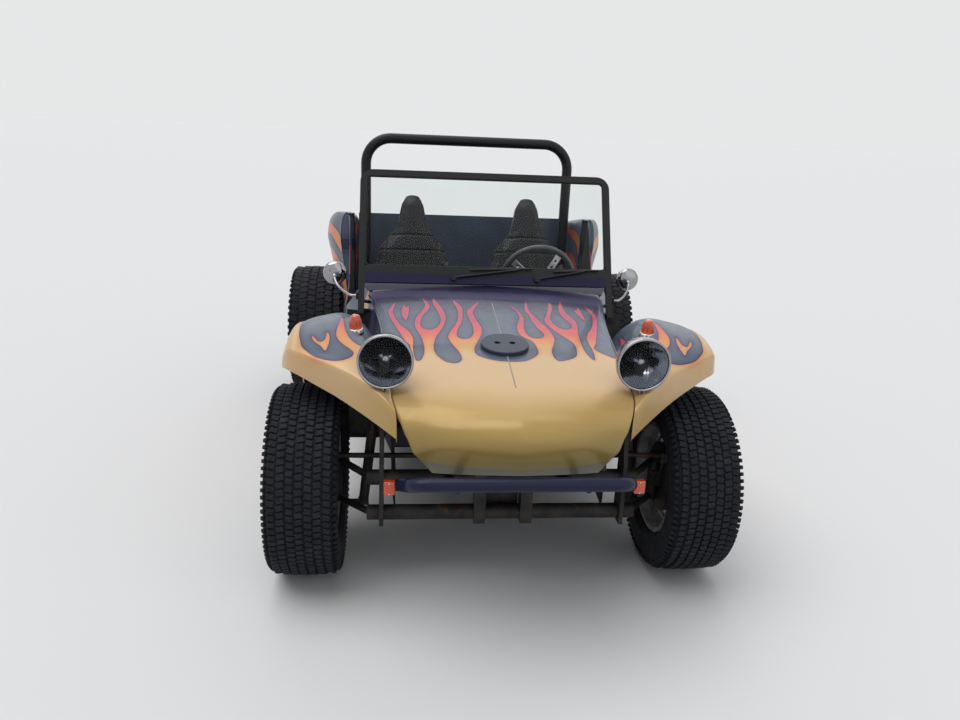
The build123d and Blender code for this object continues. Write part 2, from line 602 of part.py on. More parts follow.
def make_drum(disc_x):
    """Brake drum with its hub running on the spindle and a dust cap through the wheel's centre."""
    inner = disc_x - DRUM_DEPTH
    bore = SPINDLE_R + RUNNING_GAP
    return spun([(inner, DRUM_R), (disc_x, DRUM_R), (disc_x, HUB_HOLE_R - 2), (disc_x + 30, HUB_HOLE_R - 4),
                 (disc_x + 36, 0), (disc_x + 14, 0), (disc_x + 14, bore), (inner + 6, bore), (inner + 6, bore + 14),
                 (disc_x - 10, bore + 14), (disc_x - 10, DRUM_R - DRUM_WALL), (inner, DRUM_R - DRUM_WALL)])


WHEELS = [
    # place, y, axle height, half track, tyre width, rim width, wheel disc x
    ("front", 0.0, FRONT_TYRE_R, FRONT_TRACK_HALF, FRONT_TYRE_W, FRONT_RIM_W, FRONT_DISC_X),
    ("rear", WHEELBASE, REAR_TYRE_R, REAR_TRACK_HALF, REAR_TYRE_W, REAR_RIM_W, REAR_DISC_X),
]


def make_wheels():
    for place, y, z, half, width, rim_width, disc_x in WHEELS:
        at = Pos(0, y, z)
        pieces = {
            "tyre": at * spun(make_tyre(half, z, width, rim_width)),
            "rim": at * make_rim(half, rim_width, disc_x),
            "drum": at * make_drum(disc_x),
        }
        for name, shape in pieces.items():
            NODES[name + "_" + place + "_left"] = shape
            NODES[name + "_" + place + "_right"] = mirrored(shape)


# Rear axle and engine

def make_rear_suspension():
    """Axle tubes, trailing spring plates and rear shocks."""
    y, z = WHEELBASE, REAR_TYRE_R
    inner = REAR_DISC_X - DRUM_DEPTH - 5
    tube = rod((112, y, z), (inner - 10, y, z), 34)
    plate = rod((inner - 10, y, z), (inner, y, z), DRUM_R - 4)
    spindle = rod((inner - 12, y, z), (REAR_DISC_X + 12, y, z), SPINDLE_R)
    arm = side_plate([(TORSION_Y - 35, TORSION_Z - 30), (TORSION_Y - 35, TORSION_Z + 30), (y - 30, z + 42),
                      (y + 36, z + 42), (y + 36, z - 42), (y - 30, z - 42)], FLOOR_HALF - 70, FLOOR_HALF - 60)
    housing = block(FLOOR_HALF - 62, FLOOR_HALF - 20, y - 44, y + 44, z - 44, z + 44)
    shock = rod((FLOOR_HALF - 40, y + 60, z - 10), (FLOOR_HALF - 40, y + 60, z + 250), 26)
    lug = block(FLOOR_HALF - 56, FLOOR_HALF - 26, y + 30, y + 62, z - 30, z + 20)
    return both(tube + plate + spindle + arm + housing + shock + lug)


def make_transaxle():
    y = WHEELBASE
    case = rod((0, y - 315, 330), (0, y + 90, 350), 92)
    side = rod((-112, y, REAR_TYRE_R), (112, y, REAR_TYRE_R), 96)
    bell = rod((0, y + 88, 370), (0, y + 150, 370), 165)
    nose = rod((0, TORSION_Y + TORSION_R + RUNNING_GAP, 330), (0, y - 300, 330), 60)
    return case + side + bell + nose


def make_engine_case():
    y = ENGINE_Y
    case = block(-125, 125, y + 0.5, y + 330, 300, 480)
    sump = block(-95, 95, y + 30, y + 300, 262, 300)
    stand = block(-40, 40, y + 160, y + 230, 480, 587.7)
    pulley = rod((0, y + 330, 400), (0, y + 365, 400), 84)
    return case + sump + stand + pulley


def make_cylinder_heads():
    """Finned barrels and heads, a pair on each side of the case."""
    y = ENGINE_Y
    side = block(300, CYLINDER_HALF_SPAN, y + 20, y + 320, 335, 465)
    for cy in (y + 90, y + 250):
        side = side + rod((125.3, cy, 400), (302, cy, 400), 44)
        for k in range(9):
            x = 140 + k * 18
            side = side + rod((x, cy, 400), (x + 5, cy, 400), 66)
    cover = block(CYLINDER_HALF_SPAN, CYLINDER_HALF_SPAN + 26, y + 30, y + 310, 340, 430)
    return both(side + cover)


def make_fan_shroud():
    """Cooling fan housing across the top with its generator."""
    y = ENGINE_Y
    ring = rod((0, y + 60, 700), (0, y + 150, 700), 165)
    skirt = block(-290, 290, y + 60, y + 150, 560, 640)
    legs = block(130, 290, y + 60, y + 150, 466.3, 560)
    body = ring + skirt + legs + mirrored(legs)
    generator = rod((0, y + 150, 640), (0, y + 330, 640), 52) + rod((0, y + 330, 640), (0, y + 352, 640), 62)
    return body + generator


def make_exhaust():
    """Four header pipes into a cross muffler below the engine's back, and one tail pipe."""
    y, z = ENGINE_Y + 428, 330
    muffler = rod((-280, y, z), (280, y, z), 58)
    body = muffler
    for side in (-1, 1):
        pipe = bent_tube([(side * 335, ENGINE_Y + 170, 334.7), (side * 335, ENGINE_Y + 170, 262),
                          (side * 335, y, 262), (side * 250, y, z)], [28, 40], 19)
        body = body + pipe
    x, z_out = 120, z - 20
    tail = bent_tube([(x, y, z), (x, y + 45, z_out), (x, y + 87, z_out)], [30], 24)
    collar = rod((x, y + 40, z_out), (x, y + 64, z_out), 31)
    return body + tail + collar - rod((x, y + 62, z_out), (x, y + 88, z_out), 21)


# Windscreen, hoop, lamps and fittings

def screen_plane(offset=0.0):
    """Plane of the windscreen: local x across the car, local y up the rake."""
    t = radians(SCREEN_RAKE)
    origin = (0, SCREEN_Y - offset * cos(t), SCREEN_Z + offset * sin(t))
    return Plane(origin=origin, x_dir=(1, 0, 0), z_dir=(0, -cos(t), sin(t)))


def screen_panel(half, low, high, corner, depth):
    """Panel in the windscreen's plane with rounded top corners, centred on that plane."""
    height = high - low
    shape = Pos(0, (low + high) / 2) * Rectangle(2 * half, height)
    tops = shape.vertices().sort_by(Axis.Y)[-2:]
    shape = fillet(tops, corner)
    return extrude(screen_plane(-depth / 2) * shape, amount=depth)


def make_screen():
    bar = SCREEN_BAR
    outer = screen_panel(SCREEN_HALF, -RAIL_DROP, SCREEN_HEIGHT, SCREEN_CORNER_R, SCREEN_DEPTH)
    opening = screen_panel(SCREEN_HALF - bar, bar / 2, SCREEN_HEIGHT - bar, SCREEN_CORNER_R - bar, SCREEN_DEPTH * 2)
    legs = screen_panel(SCREEN_HALF, -SCREEN_LEG, 10, 5, SCREEN_DEPTH)
    legs = legs - screen_panel(SCREEN_HALF - bar, -SCREEN_LEG * 2, 20, 5, SCREEN_DEPTH * 2)
    frame = outer - opening + legs
    gap = RUNNING_GAP
    # Bolt spacers between the legs and the tub's side walls, square to the wall
    for drop in (140.0, 176.0):
        leg = screen_plane().from_local_coords((0, -drop, 0))
        slope_y = (tub_face(leg.Y, leg.Z) - tub_face(leg.Y - 5, leg.Z)) / 5
        slope_z = (tub_face(leg.Y, leg.Z) - tub_face(leg.Y, leg.Z - 5)) / 5
        square = Vector(1, -slope_y, -slope_z).normalized()
        seat = Vector(tub_face(leg.Y, leg.Z), leg.Y, leg.Z) + square * gap
        tip = seat + square * (SCREEN_HALF - bar + 3 - seat.X)
        boss = rod((seat.X, seat.Y, seat.Z), (tip.X, tip.Y, tip.Z), 7)
        frame = frame + boss + mirrored(boss)
    glass = screen_panel(SCREEN_HALF - bar - gap, bar / 2 + gap, SCREEN_HEIGHT - bar - gap,
                         SCREEN_CORNER_R - bar - gap, GLASS)
    return frame, glass


def make_wipers():
    """Two arms with blades resting in front of the glass."""
    pieces = []
    plane = screen_plane(SCREEN_DEPTH / 2 + 9)

    def at(x, v, lift=0.0):
        p = plane.from_local_coords((x, v, lift))
        return (p.X, p.Y, p.Z)

    for pivot_x, tip_x in ((-140.0, 190.0), (210.0, 470.0)):
        base = rod(at(pivot_x, -34, -8.7), at(pivot_x, -34, 6), 13)
        arm = rod(at(pivot_x, -34, 2), at(tip_x - 60, 4, 2), 5)
        blade = rod(at(pivot_x + 70, 0, 0), at(tip_x, 10, 0), 4)
        pieces.append(base + arm + blade)
    return group(*pieces)


def make_roll_bar():
    """Single hoop behind the seats on two foot plates."""
    centre = HOOP_HALF - HOOP_TUBE_R
    top = HOOP_TOP_Z - HOOP_TUBE_R
    foot_z = SHELF_Z + SKIN
    hoop = bent_tube([(-centre, HOOP_Y, foot_z), (-centre, HOOP_Y, top), (centre, HOOP_Y, top),
                      (centre, HOOP_Y, foot_z)], [HOOP_BEND_R, HOOP_BEND_R], HOOP_TUBE_R)
    plate = block(centre - 60, centre + 42, HOOP_Y - 60, HOOP_Y + 60, foot_z, foot_z + 6)
    return hoop + plate + mirrored(plate)


def make_seat():
    """High-back bucket seat: cushion, side bolsters and a tapered back."""
    base = fillet(Box(460, 440, 120).edges(), 30)
    cushion = Pos(SEAT_X, SEAT_Y + 150, 354) * Rot(-8, 0, 0) * base
    bolster_box = fillet(Box(56, 420, 170).edges(), 25)
    sides = [Pos(SEAT_X + s * 200, SEAT_Y + 160, 385) * Rot(-8, 0, 0) * bolster_box for s in (-1, 1)]
    outline = [(-225, 0), (-225, 420), (-190, 560), (-120, 640), (-95, 780), (-60, 820), (60, 820), (95, 780),
               (120, 640), (190, 560), (225, 420), (225, 0)]
    face = make_face(Polyline(*[(x, v) for x, v in outline], close=True))
    back = extrude(face, amount=85)
    wing_face = make_face(Polyline((-225, 40), (-225, 430), (-170, 480), (-160, 40), close=True))
    wing = extrude(wing_face, amount=140)
    back = back + wing + mirror(wing, about=Plane.YZ)
    back = fillet(back.edges().group_by(Axis.Z)[0], 20)
    lean = Plane(origin=(SEAT_X, SEAT_Y + 375, 380), x_dir=(1, 0, 0), z_dir=(0, -cos(radians(17)), sin(radians(17))))
    seat = cushion + lean * back
    for side in sides:
        seat = seat + side
    rails = block(SEAT_X - 190, SEAT_X - 160, SEAT_Y, SEAT_Y + 320, FLOOR_Z + PAN_WALL + RUNNING_GAP, 320)
    return seat + rails + Pos(350, 0, 0) * rails


def on_fender(shape):
    """The part of a fitting that stands above the left fender's skin."""
    skin = Pos(0, 0, RUNNING_GAP) * NODES["front_fender_left"]
    return (shape - skin).solids().sort_by(Axis.Z)[-1]


def make_headlamps():
    """Bowl on a short stalk with a rim, and the lens in it."""
    lamp = Pos(LAMP_X, LAMP_Y, LAMP_Z) * Rot(90, 0, 0)
    bowl = revolve(make_face([
        Polyline((0, 0, 6), (LAMP_R - 8, 0, 6), (LAMP_R - 8, 0, 14), (LAMP_R, 0, 10), (LAMP_R, 0, -10),
                 (LAMP_R - 5, 0, -14), (LAMP_R * 0.9, 0, -LAMP_DEPTH * 0.36), (LAMP_R * 0.75, 0, -LAMP_DEPTH * 0.6),
                 (LAMP_R * 0.54, 0, -LAMP_DEPTH * 0.82), (LAMP_R * 0.28, 0, -LAMP_DEPTH * 0.95),
                 (0, 0, -LAMP_DEPTH), close=True)]), axis=Axis.Z)
    lens_r, lens_h, face = LAMP_R - 8.3, 13.0, 11.0
    ball = (lens_r * lens_r + lens_h * lens_h) / (2 * lens_h)
    lens = Pos(0, 0, face + lens_h - ball) * Sphere(ball) & Pos(0, 0, 6.3 + 20) * Cylinder(lens_r, 40)
    stalk = rod((LAMP_X + 4, LAMP_Y + 45, LAMP_Z - 50), (LAMP_X + 4, LAMP_Y + 45, LAMP_Z - 130), 17)
    return both(on_fender(lamp * bowl + stalk)), both(lamp * lens)


def make_amber_lamps():
    """Domes on the fenders and square side lamps at the bumper's ends."""
    dome = Pos(507, 30, 878) * Cylinder(24, 32) + Pos(507, 30, 904) * Cylinder(20, 30)
    square = block(366, 400, -428, -404.3, 474, 516)
    return group(both(on_fender(dome)), both(square))


def make_bumper():
    """Bent tube under the nose on two brackets from the beam."""
    tube = bent_tube([(-343, -404, 497), (-BUMPER_HALF - 15, BUMPER_Y, BUMPER_Z),
                      (BUMPER_HALF + 15, BUMPER_Y, BUMPER_Z), (343, -404, 497)], [60, 60], BUMPER_R)
    tube_z = BEAM_LOW_Z + BEAM_SPREAD
    bracket = rod((190, BUMPER_Y, BUMPER_Z - 12), (190, BEAM_Y, tube_z), 14)
    bracket -= rod((150, BEAM_Y, tube_z), (230, BEAM_Y, tube_z), BEAM_TUBE_R + RUNNING_GAP)
    bracket = bracket.solids().sort_by(Axis.Y)[0]
    plate = block(330, 402, -404, -399, 476, 514)
    return tube + bracket + mirrored(bracket) + plate + mirrored(plate)


def make_tail_lamps():
    lamp = Pos(645, DECK_END_Y + SKIN + RUNNING_GAP + 15, 800) * Rot(90, 0, 0) * Cylinder(38, 30)
    return both(lamp)


def make_mirrors():
    """Round mirrors on bent arms from the screen's feet."""
    head = Pos(636, 752, 920) * Rot(90, 0, 0) * Cylinder(50, 26)
    arm = bent_tube([(SCREEN_HALF + 1.0, 600, 858), (560, 604, 858), (636, 720, 900), (636, 742, 920)],
                    [10, 30], 5)
    return both(head + arm)


def make_fuel_cap():
    """Flanged filler cap with two finger holes."""
    cap = Cylinder(CAP_R, CAP_H)
    cap = fillet(cap.edges().sort_by(Axis.Z)[-1], 4) + Pos(0, 0, -CAP_H / 2 - 12) * Cylinder(CAP_R * 0.6 - 0.5, 24)
    for x in (-26, 26):
        cap = cap - Pos(x, 0, 2) * Cylinder(11, 16)
    return Pos(0, 0, hood_height(0.0)) * Rot(8, 0, 0) * Pos(0, 0, CAP_H / 2 + RUNNING_GAP) * cap


def make_levers():
    """Gear lever and handbrake on the tunnel."""
    gear = rod((0, 880, TUNNEL_Z + 8), (0, 900, TUNNEL_Z + 250), 7) + Pos(0, 902, TUNNEL_Z + 262) * Sphere(24)
    boot = Pos(0, 880, TUNNEL_Z + 12.3) * Cylinder(32, 24)
    brake = rod((0, 1000, TUNNEL_Z + 20), (0, 1260, TUNNEL_Z + 90), 12)
    pivot = block(-18, 18, 980, 1030, TUNNEL_Z + RUNNING_GAP, TUNNEL_Z + 34)
    return group(gear + boot, brake + pivot)


def make_shocks():
    """Front shock absorbers from the lower arms to the tower tops."""
    z = arm_z(False) + 6
    top = (BEAM_HALF + 12, SHOCK_Y - 2, TOWER_TOP_Z - 16)
    eye = rod((SHOCK_X - SHOCK_EYE_HALF, SHOCK_Y, z), (SHOCK_X + SHOCK_EYE_HALF, SHOCK_Y, z), 15)
    body = rod((SHOCK_X, SHOCK_Y, z), top, 17)
    pin_z = TOWER_TOP_Z - 22
    pin = rod((BEAM_HALF - 10 + RUNNING_GAP, SHOCK_Y - 2, pin_z), (BEAM_HALF + 12, SHOCK_Y - 2, pin_z), 8)
    return both(eye + body + pin)


# Nodes are collected here as name: shape
NODES = {}


def make_pairs(name, shape):
    NODES[name + "_left"] = shape
    NODES[name + "_right"] = mirrored(shape)


def make_body():
    NODES["hood"] = make_hood()
    NODES["cowl"] = make_cowl()
    NODES["rear_deck"] = make_rear_deck()
    make_pairs("front_fender", make_fender())
    make_pairs("tub_side", make_tub_side())
    make_pairs("rear_quarter", make_quarter())


def make_chassis():
    NODES["floor_pan"] = make_floor_pan()
    NODES["front_beam"] = make_front_beam()
    NODES["front_arms"] = make_front_arms()
    NODES["front_shocks"] = make_shocks()
    make_pairs("knuckle", make_knuckle())
    NODES["track_rods"] = make_track_rods()
    NODES["pitman_arm"] = make_pitman_arm()
    NODES["steering_column"] = make_steering_column()
    NODES["steering_wheel"] = make_steering_wheel()
    NODES["rear_suspension"] = make_rear_suspension()
    NODES["transaxle"] = make_transaxle()
    NODES["engine_case"] = make_engine_case()
    NODES["cylinder_heads"] = make_cylinder_heads()
    NODES["fan_shroud"] = make_fan_shroud()
    NODES["exhaust"] = make_exhaust()


def make_fittings():
    NODES["windscreen_frame"], NODES["windscreen_glass"] = make_screen()
    NODES["wipers"] = make_wipers()
    NODES["roll_bar"] = make_roll_bar()
    make_pairs("seat", make_seat())
    NODES["headlamp_bowls"], NODES["headlamp_lenses"] = make_headlamps()
    NODES["amber_lamps"] = make_amber_lamps()
    NODES["front_bumper"] = make_bumper()
    NODES["tail_lamps"] = make_tail_lamps()
    NODES["mirrors"] = make_mirrors()
    NODES["fuel_cap"] = make_fuel_cap()
    NODES["levers"] = make_levers()


def ship():
    """Centre the car's length on y = 0 and write one file per node."""
    boxes = [shape.bounding_box() for shape in NODES.values()]
    front = min(b.min.Y for b in boxes)
    back = max(b.max.Y for b in boxes)
    low = min(b.min.Z for b in boxes)
    shift = Pos(0, -(front + back) / 2, -low)
    os.makedirs("parts", exist_ok=True)
    for name, shape in NODES.items():
        solids = [shift * solid for solid in shape.solids()]
        export_step(solids[0] if len(solids) == 1 else Compound(solids), "parts/" + name + ".step")


if __name__ == "__main__":
    make_body()
    make_chassis()
    make_wheels()
    make_fittings()
    ship()
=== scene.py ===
"""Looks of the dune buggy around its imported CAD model. Metres; nose towards -Y, driver at +X."""
import functools
import math

import bpy
import numpy as np
from mathutils import Matrix, Vector


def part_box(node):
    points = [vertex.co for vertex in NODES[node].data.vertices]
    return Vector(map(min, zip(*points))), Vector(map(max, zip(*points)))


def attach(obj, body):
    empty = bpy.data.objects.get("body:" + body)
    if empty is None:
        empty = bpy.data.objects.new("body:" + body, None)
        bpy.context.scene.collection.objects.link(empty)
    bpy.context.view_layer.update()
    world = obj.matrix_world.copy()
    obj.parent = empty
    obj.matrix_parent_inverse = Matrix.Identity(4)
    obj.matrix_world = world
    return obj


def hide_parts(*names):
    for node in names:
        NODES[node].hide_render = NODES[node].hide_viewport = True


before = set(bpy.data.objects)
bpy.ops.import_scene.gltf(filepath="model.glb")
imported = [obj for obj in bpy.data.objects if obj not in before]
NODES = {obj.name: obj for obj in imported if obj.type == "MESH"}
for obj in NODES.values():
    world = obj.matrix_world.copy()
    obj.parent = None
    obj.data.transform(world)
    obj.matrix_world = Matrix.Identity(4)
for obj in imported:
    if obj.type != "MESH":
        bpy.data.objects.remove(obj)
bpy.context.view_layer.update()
bpy.ops.object.select_all(action="DESELECT")

# The CAD model is centred along its length: this is the front axle's place in it
FRONT_AXLE_Y = -1.048

# Body tables, in millimetres from the front axle
# Hood: y, z of the centre crease; tilt of the section; half width; drop of the edge; bulge
HOOD_ROWS = [
    (600, 900, 8, 484, 21, 5), (300, 860, 8, 430, 22, 5), (0, 820, 8, 405, 26, 6),
    (-200, 791, 9, 388, 30, 7), (-330, 767, 13, 373, 40, 9), (-420, 744, 30, 346, 70, 15),
    (-484, 719, 50, 330, 118, 25), (-508, 678, 55, 314, 129, 27), (-502, 630, 63, 292, 112, 23),
    (-480, 585, 67, 270, 84, 17), (-466, 555, 73, 257, 67, 13),
]
# Front fender: x; lip y, z; crest y, z; top y, z; rear foot y, z
FENDER_ROWS = [
    (305, -408, 601, -398, 640, 0, 738, 560, 262), (335, -382, 613, -372, 672, 0, 752, 560, 262),
    (365, -355, 625, -352, 710, 10, 762, 560, 262), (400, -322, 640, -325, 740, 25, 775, 560, 262),
    (440, -285, 656, -287, 762, 45, 798, 560, 262), (485, -244, 673, -248, 781, 90, 848, 560, 262),
    (545, -196, 696, -205, 797, 110, 884, 560, 262), (630, -134, 723, -145, 812, 105, 880, 560, 262),
    (690, -93, 742, -96, 819, 85, 864, 556, 262), (728, -62, 750, -56, 810, 80, 840, 546, 264),
    (746, -25, 745, -20, 772, 80, 796, 522, 268),
]
# Tub side: y; x at the floor; x at the top edge; z of the top edge
TUB_ROWS = [
    (60, 380, 402, 793.5), (300, 384, 422, 828.5), (600, 572, 473.5, 871), (700, 574, 513, 885),
    (830, 575, 582, 780), (960, 576, 608, 728), (1300, 577, 612, 834), (1480, 578, 622, 1062),
    (1560, 580, 634, 1082),
]
# Wheel-well wall: y; x at the floor; x at the top; highest z
WELL_ROWS = [(-70, 372, 388, 766), (60, 380, 398, 786), (300, 376, 420, 900), (556, 420, 466, 900)]
# Rear quarter: y; shoulder x, z; widest x, z; lip x, z
QUARTER_ROWS = [
    (1560, 650, 1082, 672, 940, 610, 420), (1680, 690, 1078, 728, 925, 660, 560),
    (1800, 712, 1062, 758, 920, 700, 640), (2050, 712, 1020, 762, 890, 715, 640),
    (2300, 650, 930, 690, 830, 660, 640),
]
FLOOR_TOP, SHELF_Z, WELL_HALF = 255, 620, 600
# Fineness of the skins' grids: hood and fender, tub side and quarter, wheel-well wall
FINE_STEP, SIDE_STEP, WELL_STEP = 7.0, 10.0, 14.0
# Depth of the hood's edge, and the seam between hood and fender
HOOD_FLANGE, SEAM = 18.0, 3.0
ARCH_Y, ARCH_Z, ARCH_R = 2000, 360, 430

# Flame edges: the paint is gold ahead of this line and slate behind it. Hood: x, y
HOOD_FLAMES = [
    (-430, -60), (-360, -20), (-322, 25), (-338, 74), (-357, 147), (-377, 225), (-398, 314), (-403, 368),
    (-390, 420), (-380, 450), (-378, 425), (-386, 365), (-378, 301), (-355, 220), (-329, 166), (-313, 107),
    (-311, 55), (-312, 0), (-305, -80), (-290, -90), (-277, -45), (-275, 20), (-282, 95), (-300, 178),
    (-304, 237), (-295, 297), (-270, 368), (-262, 424), (-278, 505), (-248, 423), (-250, 366), (-272, 304),
    (-283, 243), (-281, 192), (-262, 164), (-239, 166), (-216, 202), (-208, 262), (-217, 345), (-231, 422),
    (-230, 485), (-219, 451), (-201, 382), (-189, 306), (-191, 243), (-207, 167), (-229, 104), (-239, 43),
    (-242, -1), (-238, -40), (-227, -74), (-205, -112), (-171, -125), (-153, -96), (-159, -38), (-177, 22),
    (-187, 68), (-188, 100), (-176, 148), (-153, 215), (-142, 286), (-141, 360), (-153, 448), (-162, 490),
    (-125, 389), (-122, 313), (-133, 223), (-150, 163), (-157, 98), (-137, 69), (-111, 80), (-96, 128),
    (-95, 196), (-103, 267), (-104, 340), (-80, 388), (-47, 448), (-72, 369), (-84, 312), (-75, 239),
    (-65, 169), (-69, 111), (-88, 47), (-104, -12), (-104, -50), (-90, -80), (-45, -112), (5, -122),
    (55, -114), (92, -80), (111, -42), (112, 11), (103, 56), (82, 85), (67, 116), (66, 175), (74, 219),
    (89, 275), (85, 349), (47, 430), (88, 368), (100, 320), (105, 268), (93, 186), (92, 135), (103, 95),
    (125, 82), (150, 95), (158, 120), (156, 143), (143, 184), (133, 253), (129, 317), (122, 365), (142, 480),
    (137, 355), (149, 310), (165, 239), (182, 181), (190, 115), (188, 75), (175, 26), (162, -20), (160, -72),
    (172, -100), (200, -90), (229, -68), (245, -40), (254, 10), (254, 55), (243, 84), (229, 113), (212, 143),
    (192, 200), (183, 233), (184, 269), (205, 337), (222, 407), (240, 485), (236, 399), (218, 329),
    (208, 273), (216, 221), (232, 190), (257, 185), (276, 206), (281, 242), (269, 284), (258, 336),
    (262, 404), (284, 485), (280, 388), (291, 325), (305, 274), (303, 229), (291, 159), (284, 85), (281, 8),
    (290, -50), (303, -70), (312, 0), (311, 55), (313, 107), (329, 166), (355, 220), (378, 301), (386, 365),
    (378, 425), (380, 450), (390, 420), (403, 368), (398, 314), (377, 225), (357, 147), (338, 74), (322, 25),
    (360, -20), (430, -60),
]
HOOD_LICKS = [
    [(-345, 430), (-352, 332), (-335, 262), (-325, 355), (-328, 425), (-336, 380)],
    [(345, 430), (349, 366), (344, 285), (330, 340), (318, 405), (332, 385)],
]
# Front fender: x outwards, y
FENDER_FLAMES = [
    (720, 560), (704, 400), (698, 200), (696, 80), (691, 0), (681, -49), (674, -78), (655, -107),
    (622, -141), (578, -165), (540, -170), (513, -155), (504, -134), (512, -117), (532, -100), (554, -75),
    (566, -40), (567, -6), (562, 60), (556, 130), (548, 60), (539, 2), (520, -50), (494, -74), (472, -60),
    (460, -10), (456, 70), (460, 200), (440, 80), (436, -10), (428, -70), (380, -90),
]
FENDER_LICKS = [[(646, -30), (637, -62), (611, -95), (595, -122), (586, -89), (586, -50), (598, -12),
                 (600, -60), (612, -72), (624, -66), (632, -50)]]
# Tub side, behind the fender: y, z from the top edge down
SIDE_FLAMES = [
    (640, 900), (690, 770), (790, 705), (930, 665), (1070, 695), (1190, 800), (1100, 650), (970, 592),
    (850, 600), (750, 645), (700, 640), (688, 590), (740, 545), (860, 502), (1000, 482), (1140, 522),
    (1270, 622), (1370, 760), (1425, 930), (1405, 740), (1310, 580), (1190, 470), (1050, 415), (910, 420),
    (790, 470), (715, 488), (690, 448), (730, 400), (850, 352), (1000, 332), (1150, 352), (1300, 430),
    (1430, 560), (1525, 730), (1475, 540), (1370, 400), (1230, 312), (1080, 276), (920, 274), (760, 280),
    (640, 240),
]
SIDE_FRONT = [(300, 240), (300, 540), (500, 610), (598, 740)]
SIDE_LICKS = [
    [(1230, 700), (1262, 790), (1330, 880), (1385, 1010), (1372, 880), (1320, 780), (1270, 700)],
]
# Rear quarter: y, z
QUARTER_LICKS = [
    [(1570, 760), (1650, 850), (1760, 880), (1860, 860), (1960, 880), (2050, 950), (2010, 850), (1920, 800),
     (1820, 800), (1730, 790), (1660, 740), (1610, 650), (1570, 640)],
    [(1900, 940), (1990, 960), (2090, 930), (2180, 900), (2270, 910), (2180, 860), (2080, 870), (1990, 910)],
    [(1568, 960), (1650, 1000), (1760, 1010), (1860, 1000), (1950, 1045), (1890, 975), (1790, 955),
     (1680, 950), (1600, 900), (1568, 880)],
]


# Materials
class Shader:
    """A Principled material and short calls for the nodes that feed it."""

    def __init__(self, name, colour=(0.5, 0.5, 0.5), rough=0.5, metal=0.0, **sockets):
        self.mat = bpy.data.materials.new(name)
        self.mat.use_nodes = True
        self.tree = self.mat.node_tree
        self.out = self.tree.nodes["Principled BSDF"]
        self.set("Base Color", (*colour, 1.0))
        self.set("Roughness", rough)
        self.set("Metallic", metal)
        for socket, value in sockets.items():
            self.set(socket.replace("_", " ").title().replace("Ior", "IOR"), value)

    def set(self, socket, value):
        self.out.inputs[socket].default_value = value

    def node(self, kind, **values):
        node = self.tree.nodes.new(kind)
        for name, value in values.items():
            setattr(node, name, value)
        return node

    def link(self, source, target):
        self.tree.links.new(source, target)

    def feed(self, source, socket):
        self.link(source, self.out.inputs[socket])

    def place(self, scale=(1, 1, 1)):
        """Object coordinates, stretched by scale."""
        coords = self.node("ShaderNodeTexCoord")
        mapping = self.node("ShaderNodeMapping")
        mapping.inputs["Scale"].default_value = scale
        self.link(coords.outputs["Object"], mapping.inputs["Vector"])
        return mapping.outputs["Vector"]

    def axis(self, name):
        split = self.node("ShaderNodeSeparateXYZ")
        self.link(self.place(), split.inputs[0])
        return split.outputs[name]

    def noise(self, scale, detail=2.0, rough=0.5, where=None):
        node = self.node("ShaderNodeTexNoise")
        for name, number in (("Scale", scale), ("Detail", detail), ("Roughness", rough)):
            node.inputs[name].default_value = number
        self.link(where or self.place(), node.inputs["Vector"])
        return node.outputs["Fac"]

    def cells(self, scale, where=None, feature="F1"):
        node = self.node("ShaderNodeTexVoronoi", feature=feature)
        node.inputs["Scale"].default_value = scale
        self.link(where or self.place(), node.inputs["Vector"])
        return node.outputs["Distance"]

    def attribute(self, name):
        return self.node("ShaderNodeAttribute", attribute_name=name).outputs["Fac"]

    def both(self, first, second):
        return self.maths("MULTIPLY", first, second)

    def maths(self, operation, *values):
        node = self.node("ShaderNodeMath", operation=operation)
        for k, value in enumerate(values):
            if isinstance(value, (int, float)):
                node.inputs[k].default_value = value
            else:
                self.link(value, node.inputs[k])
        return node.outputs[0]

    def span(self, value, low, high, to_low=0.0, to_high=1.0):
        """Carries value from the range low..high to the range to_low..to_high, held at its ends."""
        node = self.node("ShaderNodeMapRange")
        self.link(value, node.inputs["Value"])
        for name, number in (("From Min", low), ("From Max", high), ("To Min", to_low), ("To Max", to_high)):
            node.inputs[name].default_value = number
        return node.outputs["Result"]

    def ramp(self, value, *stops):
        node = self.node("ShaderNodeValToRGB")
        self.link(value, node.inputs["Fac"])
        ramp = node.color_ramp
        while len(ramp.elements) < len(stops):
            ramp.elements.new(0.5)
        for element, (position, colour) in zip(ramp.elements, stops):
            element.position = position
            element.color = (*colour, 1.0)
        return node.outputs["Color"]

    def mix(self, share, low, high, blend="MIX"):
        node = self.node("ShaderNodeMix", data_type="RGBA", blend_type=blend)
        for name, value in (("Factor", share), ("A", low), ("B", high)):
            socket = [s for s in node.inputs if s.name == name and s.enabled][0]
            if isinstance(value, (int, float)):
                socket.default_value = value
            elif isinstance(value, tuple):
                socket.default_value = (*value, 1.0)
            else:
                self.link(value, socket)
        return [s for s in node.outputs if s.enabled][0]

    def bump(self, height, distance, strength):
        node = self.node("ShaderNodeBump")
        node.inputs["Strength"].default_value = strength
        node.inputs["Distance"].default_value = distance
        self.link(height, node.inputs["Height"])
        self.feed(node.outputs["Normal"], "Normal")

    def tint(self, share, low, high):
        """Body colour that runs from low to high with share."""
        self.feed(self.mix(share, low, high), "Base Color")

    def sheen(self, scale, detail, low, high, smooth, dull):
        """Roughness that runs from smooth to dull with a noise between low and high."""
        self.feed(self.span(self.noise(scale, detail), low, high, smooth, dull), "Roughness")


def dress(names, shader):
    """Gives CAD nodes a material."""
    for name in names:
        mesh = NODES[name].data
        mesh.materials.clear()
        mesh.materials.append(shader.mat)


